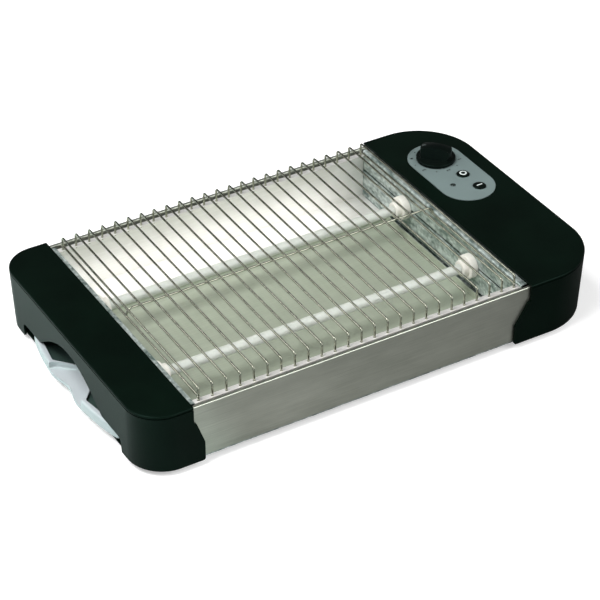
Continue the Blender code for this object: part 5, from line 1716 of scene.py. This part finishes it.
def dress_frame(materials: dict[Look, Material]) -> None:
    """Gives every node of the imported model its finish.

    Args:
        materials: The material of each finish.
    """
    corners = [f"{row}_{side}" for _, row in ROWS for _, side in SIDES]
    groups = {
        Look.BLACK_ABS: ["left_end_cap", "right_end_cap", "left_bottom_cover",
                         "right_bottom_cover", "off_button", "start_button", "relay",
                         "cable_gland"],
        Look.KNOB_ABS: ["timer_knob"],
        Look.PANEL_ABS: ["control_panel"],
        Look.HANDLE_ABS: ["tray_handle"],
        Look.BRUSHED: ["front_wall", "rear_wall"],
        Look.TINPLATE: ["front_reflector", "rear_reflector"],
        Look.TRAY_TIN: ["crumb_tray"],
        Look.GALVANISED: ["base_plate", "left_lower_plate", "right_lower_plate"],
        Look.WIRE: ["toast_rack"],
        Look.QUARTZ: ["front_quartz_tube", "rear_quartz_tube"],
        Look.STEATITE: [corner + "_ceramic" for corner in corners],
        Look.RUBBER: [corner + "_foot" for corner in corners],
        Look.BOARD: ["control_board"],
        Look.NYLON: ["front_heater_lead", "rear_heater_lead", "indicator_lamp",
                     "terminal_block"],
        Look.LENS: ["indicator_lens"],
        Look.PLATED: ["front_heating_coil", "rear_heating_coil", "heater_link_strap",
                      "knob_shaft", "timer_potentiometer", "off_switch", "start_switch",
                      "transformer", "front_board_screw", "rear_board_screw",
                      *(corner + "_base_screw" for corner in corners)],
    }
    for look, names in groups.items():
        for name in names:
            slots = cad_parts[name].data.materials
            slots.clear()
            slots.append(materials[look])
    LOG.info("dressed %d nodes", sum(len(names) for names in groups.values()))


@dataclass(frozen=True)
class Lamp:
    """A square soft lamp, where it looks, its size in metres and its power in watts."""

    name: str
    place: Point3
    size: float
    watts: float
    target: Point3 = (0.0, 0.0, 0.03)

    def build(self) -> None:
        """Adds the lamp."""
        data = bpy.data.lights.new(self.name, "AREA")
        data.shape = "SQUARE"
        data.size = self.size
        data.energy = self.watts
        lamp = placed_object(self.name, data)
        lamp.location = self.place
        aim = Vector(self.target) - Vector(self.place)
        lamp.rotation_euler = aim.to_track_quat("-Z", "Y").to_euler()


@dataclass
class Studio:
    """The floor, the soft lamps and the camera."""

    floor_half: float = 6.0
    floor_level: float = -0.0002
    floor_grey: float = 0.80
    floor_roughness: float = 0.9
    camera_place: Point3 = (-0.77217, -1.29637, 1.09634)
    camera_turn: Point3 = (54.416, -0.0575, -30.677)
    lens_mm: float = 134.96
    clip: Point2 = (0.05, 50.0)
    sky: Stops = ((0.0, "ffffff"), (0.14, "f0f0f0"), (0.28, "9a9a9a"), (0.45, "686868"),
                  (0.62, "565656"), (1.0, "8c8c8c"))
    bright_side: Point3 = (-0.5, -0.8, 0.0)
    side_swing: float = 0.25
    # Painted light on the floor as the toaster sees it: bright and mint-tinted to the left,
    # painted shade to the right and front.
    painted_light_side: Point3 = (-1.0, 0.25, 0.0)
    painted_light_fall: Point2 = (-0.45, 0.30)
    painted_floor_light_tones: Stops = ((0.0, "565656"), (0.3, "666666"), (0.70, "888888"), (1.0, "eafffa"))
    glow_reach: Point2 = (0.9, 3.0)
    glow_tones: Point2 = (0.36, 0.95)
    lamps: tuple[Lamp, ...] = (
        Lamp("key_box", (-1.5, 0.0, 1.6), 1.1, 16.0),
        Lamp("left_lamp", (-2.0, 0.1, 0.55), 0.8, 1.0, (-0.2, 0.0, 0.03)),
        Lamp("front_box", (0.83, -1.41, 1.15), 1.4, 30.0),
        Lamp("top_lamp", (-0.85, 0.0, 1.8), 1.0, 34.0),
        Lamp("rim_lamp", (-0.9, 1.15, 1.2), 0.45, 5.5))

    def build(self) -> None:
        """Sets up the whole studio."""
        self.set_world()
        self.add_floor()
        for lamp in self.lamps:
            lamp.build()
        self.add_camera()
        bpy.context.scene.view_settings.view_transform = "Standard"

    def set_world(self) -> None:
        """A white surround where it is seen, and a plain level of light from it."""
        world = bpy.data.worlds.new("studio")
        bpy.context.scene.world = world
        world.use_nodes = True
        tree = world.node_tree
        direction = add_node(tree, "TexCoord").outputs["Generated"]
        height = add_node(tree, "SeparateXYZ", {"Vector": direction}).outputs["Z"]
        side = add_node(tree, "VectorMath", {0: direction}, {1: self.bright_side},
                        operation="DOT_PRODUCT").outputs["Value"]
        level = add_node(tree, "Math", {0: side}, {1: self.side_swing, 2: 1 - self.side_swing},
                         operation="MULTIPLY_ADD").outputs["Value"]
        sky = add_node(tree, "VectorMath", {"Vector": ramp(tree, height, self.sky),
                                            "Scale": level}, operation="SCALE").outputs["Vector"]
        seen = add_node(tree, "LightPath").outputs["Is Camera Ray"]
        tree.links.new(seen_as(tree, seen, 1.0, sky), tree.nodes["Background"].inputs["Color"])

    def add_floor(self) -> None:
        """A pale floor that keeps the toaster's shadow. What the toaster sees of it carries
        painted light: bright and mint on the left, painted shade to the right and front.
        """
        shape = bmesh.new()
        bmesh.ops.create_grid(shape, x_segments=1, y_segments=1, size=self.floor_half)
        floor = loose_object("floor", moved(shape, at((0.0, 0.0), self.floor_level)))
        coat = Coat("pale_floor")
        tree, shader = coat.tree, coat.shader
        shader.inputs["Roughness"].default_value = self.floor_roughness
        shader.inputs["Specular IOR Level"].default_value = 0.0
        seen = add_node(tree, "LightPath").outputs["Is Camera Ray"]
        # Reflected and bounced rays see painted light here: a bright, mint-tinted floor on the
        # left that turns to painted shade to the right and front.
        side = add_node(tree, "VectorMath", {0: object_space(tree)}, {1: self.painted_light_side},
                        operation="DOT_PRODUCT").outputs["Value"]
        near = add_node(tree, "MapRange", {"Value": side}, {
            "From Min": self.painted_light_fall[0], "From Max": self.painted_light_fall[1]}).outputs["Result"]
        tree.links.new(seen_as(tree, seen, self.floor_grey, ramp(tree, near, self.painted_floor_light_tones)),
                       shader.inputs["Base Color"])
        away = add_node(tree, "VectorMath", {0: object_space(tree)},
                        operation="LENGTH").outputs["Value"]
        rise = add_node(tree, "MapRange", {"Value": away}, {
            "From Min": self.glow_reach[0], "From Max": self.glow_reach[1],
            "To Min": self.glow_tones[0], "To Max": self.glow_tones[1]}).outputs["Result"]
        strength = add_node(tree, "Math", {0: rise, 1: seen}, operation="MULTIPLY")
        glow = add_node(tree, "Emission", {"Strength": strength.outputs["Value"]},
                        {"Color": (1.0, 1.0, 1.0, 1.0)})
        both = add_node(tree, "AddShader", {0: shader.outputs["BSDF"],
                                            1: glow.outputs["Emission"]})
        tree.links.new(both.outputs["Shader"], tree.nodes["Material Output"].inputs["Surface"])
        floor.data.materials.append(coat.material)

    def add_camera(self) -> None:
        """The camera that took the photograph, as fitted to it."""
        data = bpy.data.cameras.new("camera")
        data.lens = self.lens_mm
        data.clip_start, data.clip_end = self.clip
        camera = placed_object("camera", data)
        camera.location = self.camera_place
        camera.rotation_euler = Euler([math.radians(angle) for angle in self.camera_turn])
        bpy.context.scene.camera = camera


def main() -> None:
    """Builds the dressed toaster in order."""
    logging.basicConfig(level=logging.INFO, format="%(name)s: %(message)s")
    materials = {look: look.value.make() for look in Look}
    dress_frame(materials)
    bench = Bench(materials)
    places = ControlPlaces()
    left_cap = LeftCap()
    inlet = CordInlet()
    heaters = Heaters()
    left_cap.build(bench)
    RightCap().build(bench, places, inlet.place)
    ToastRack().build(bench)
    heaters.build(bench)
    EndPlates(heaters.tube_y).build(bench)
    ControlPanel(places).build(bench)
    TimerKnob(places).build(bench)
    PushButtons(places).build(bench)
    TrayHandle(left_cap.outer_x).build(bench)
    Underside().build(bench)
    inlet.build(bench)
    Studio().build()


if __name__ == "__main__":
    main()
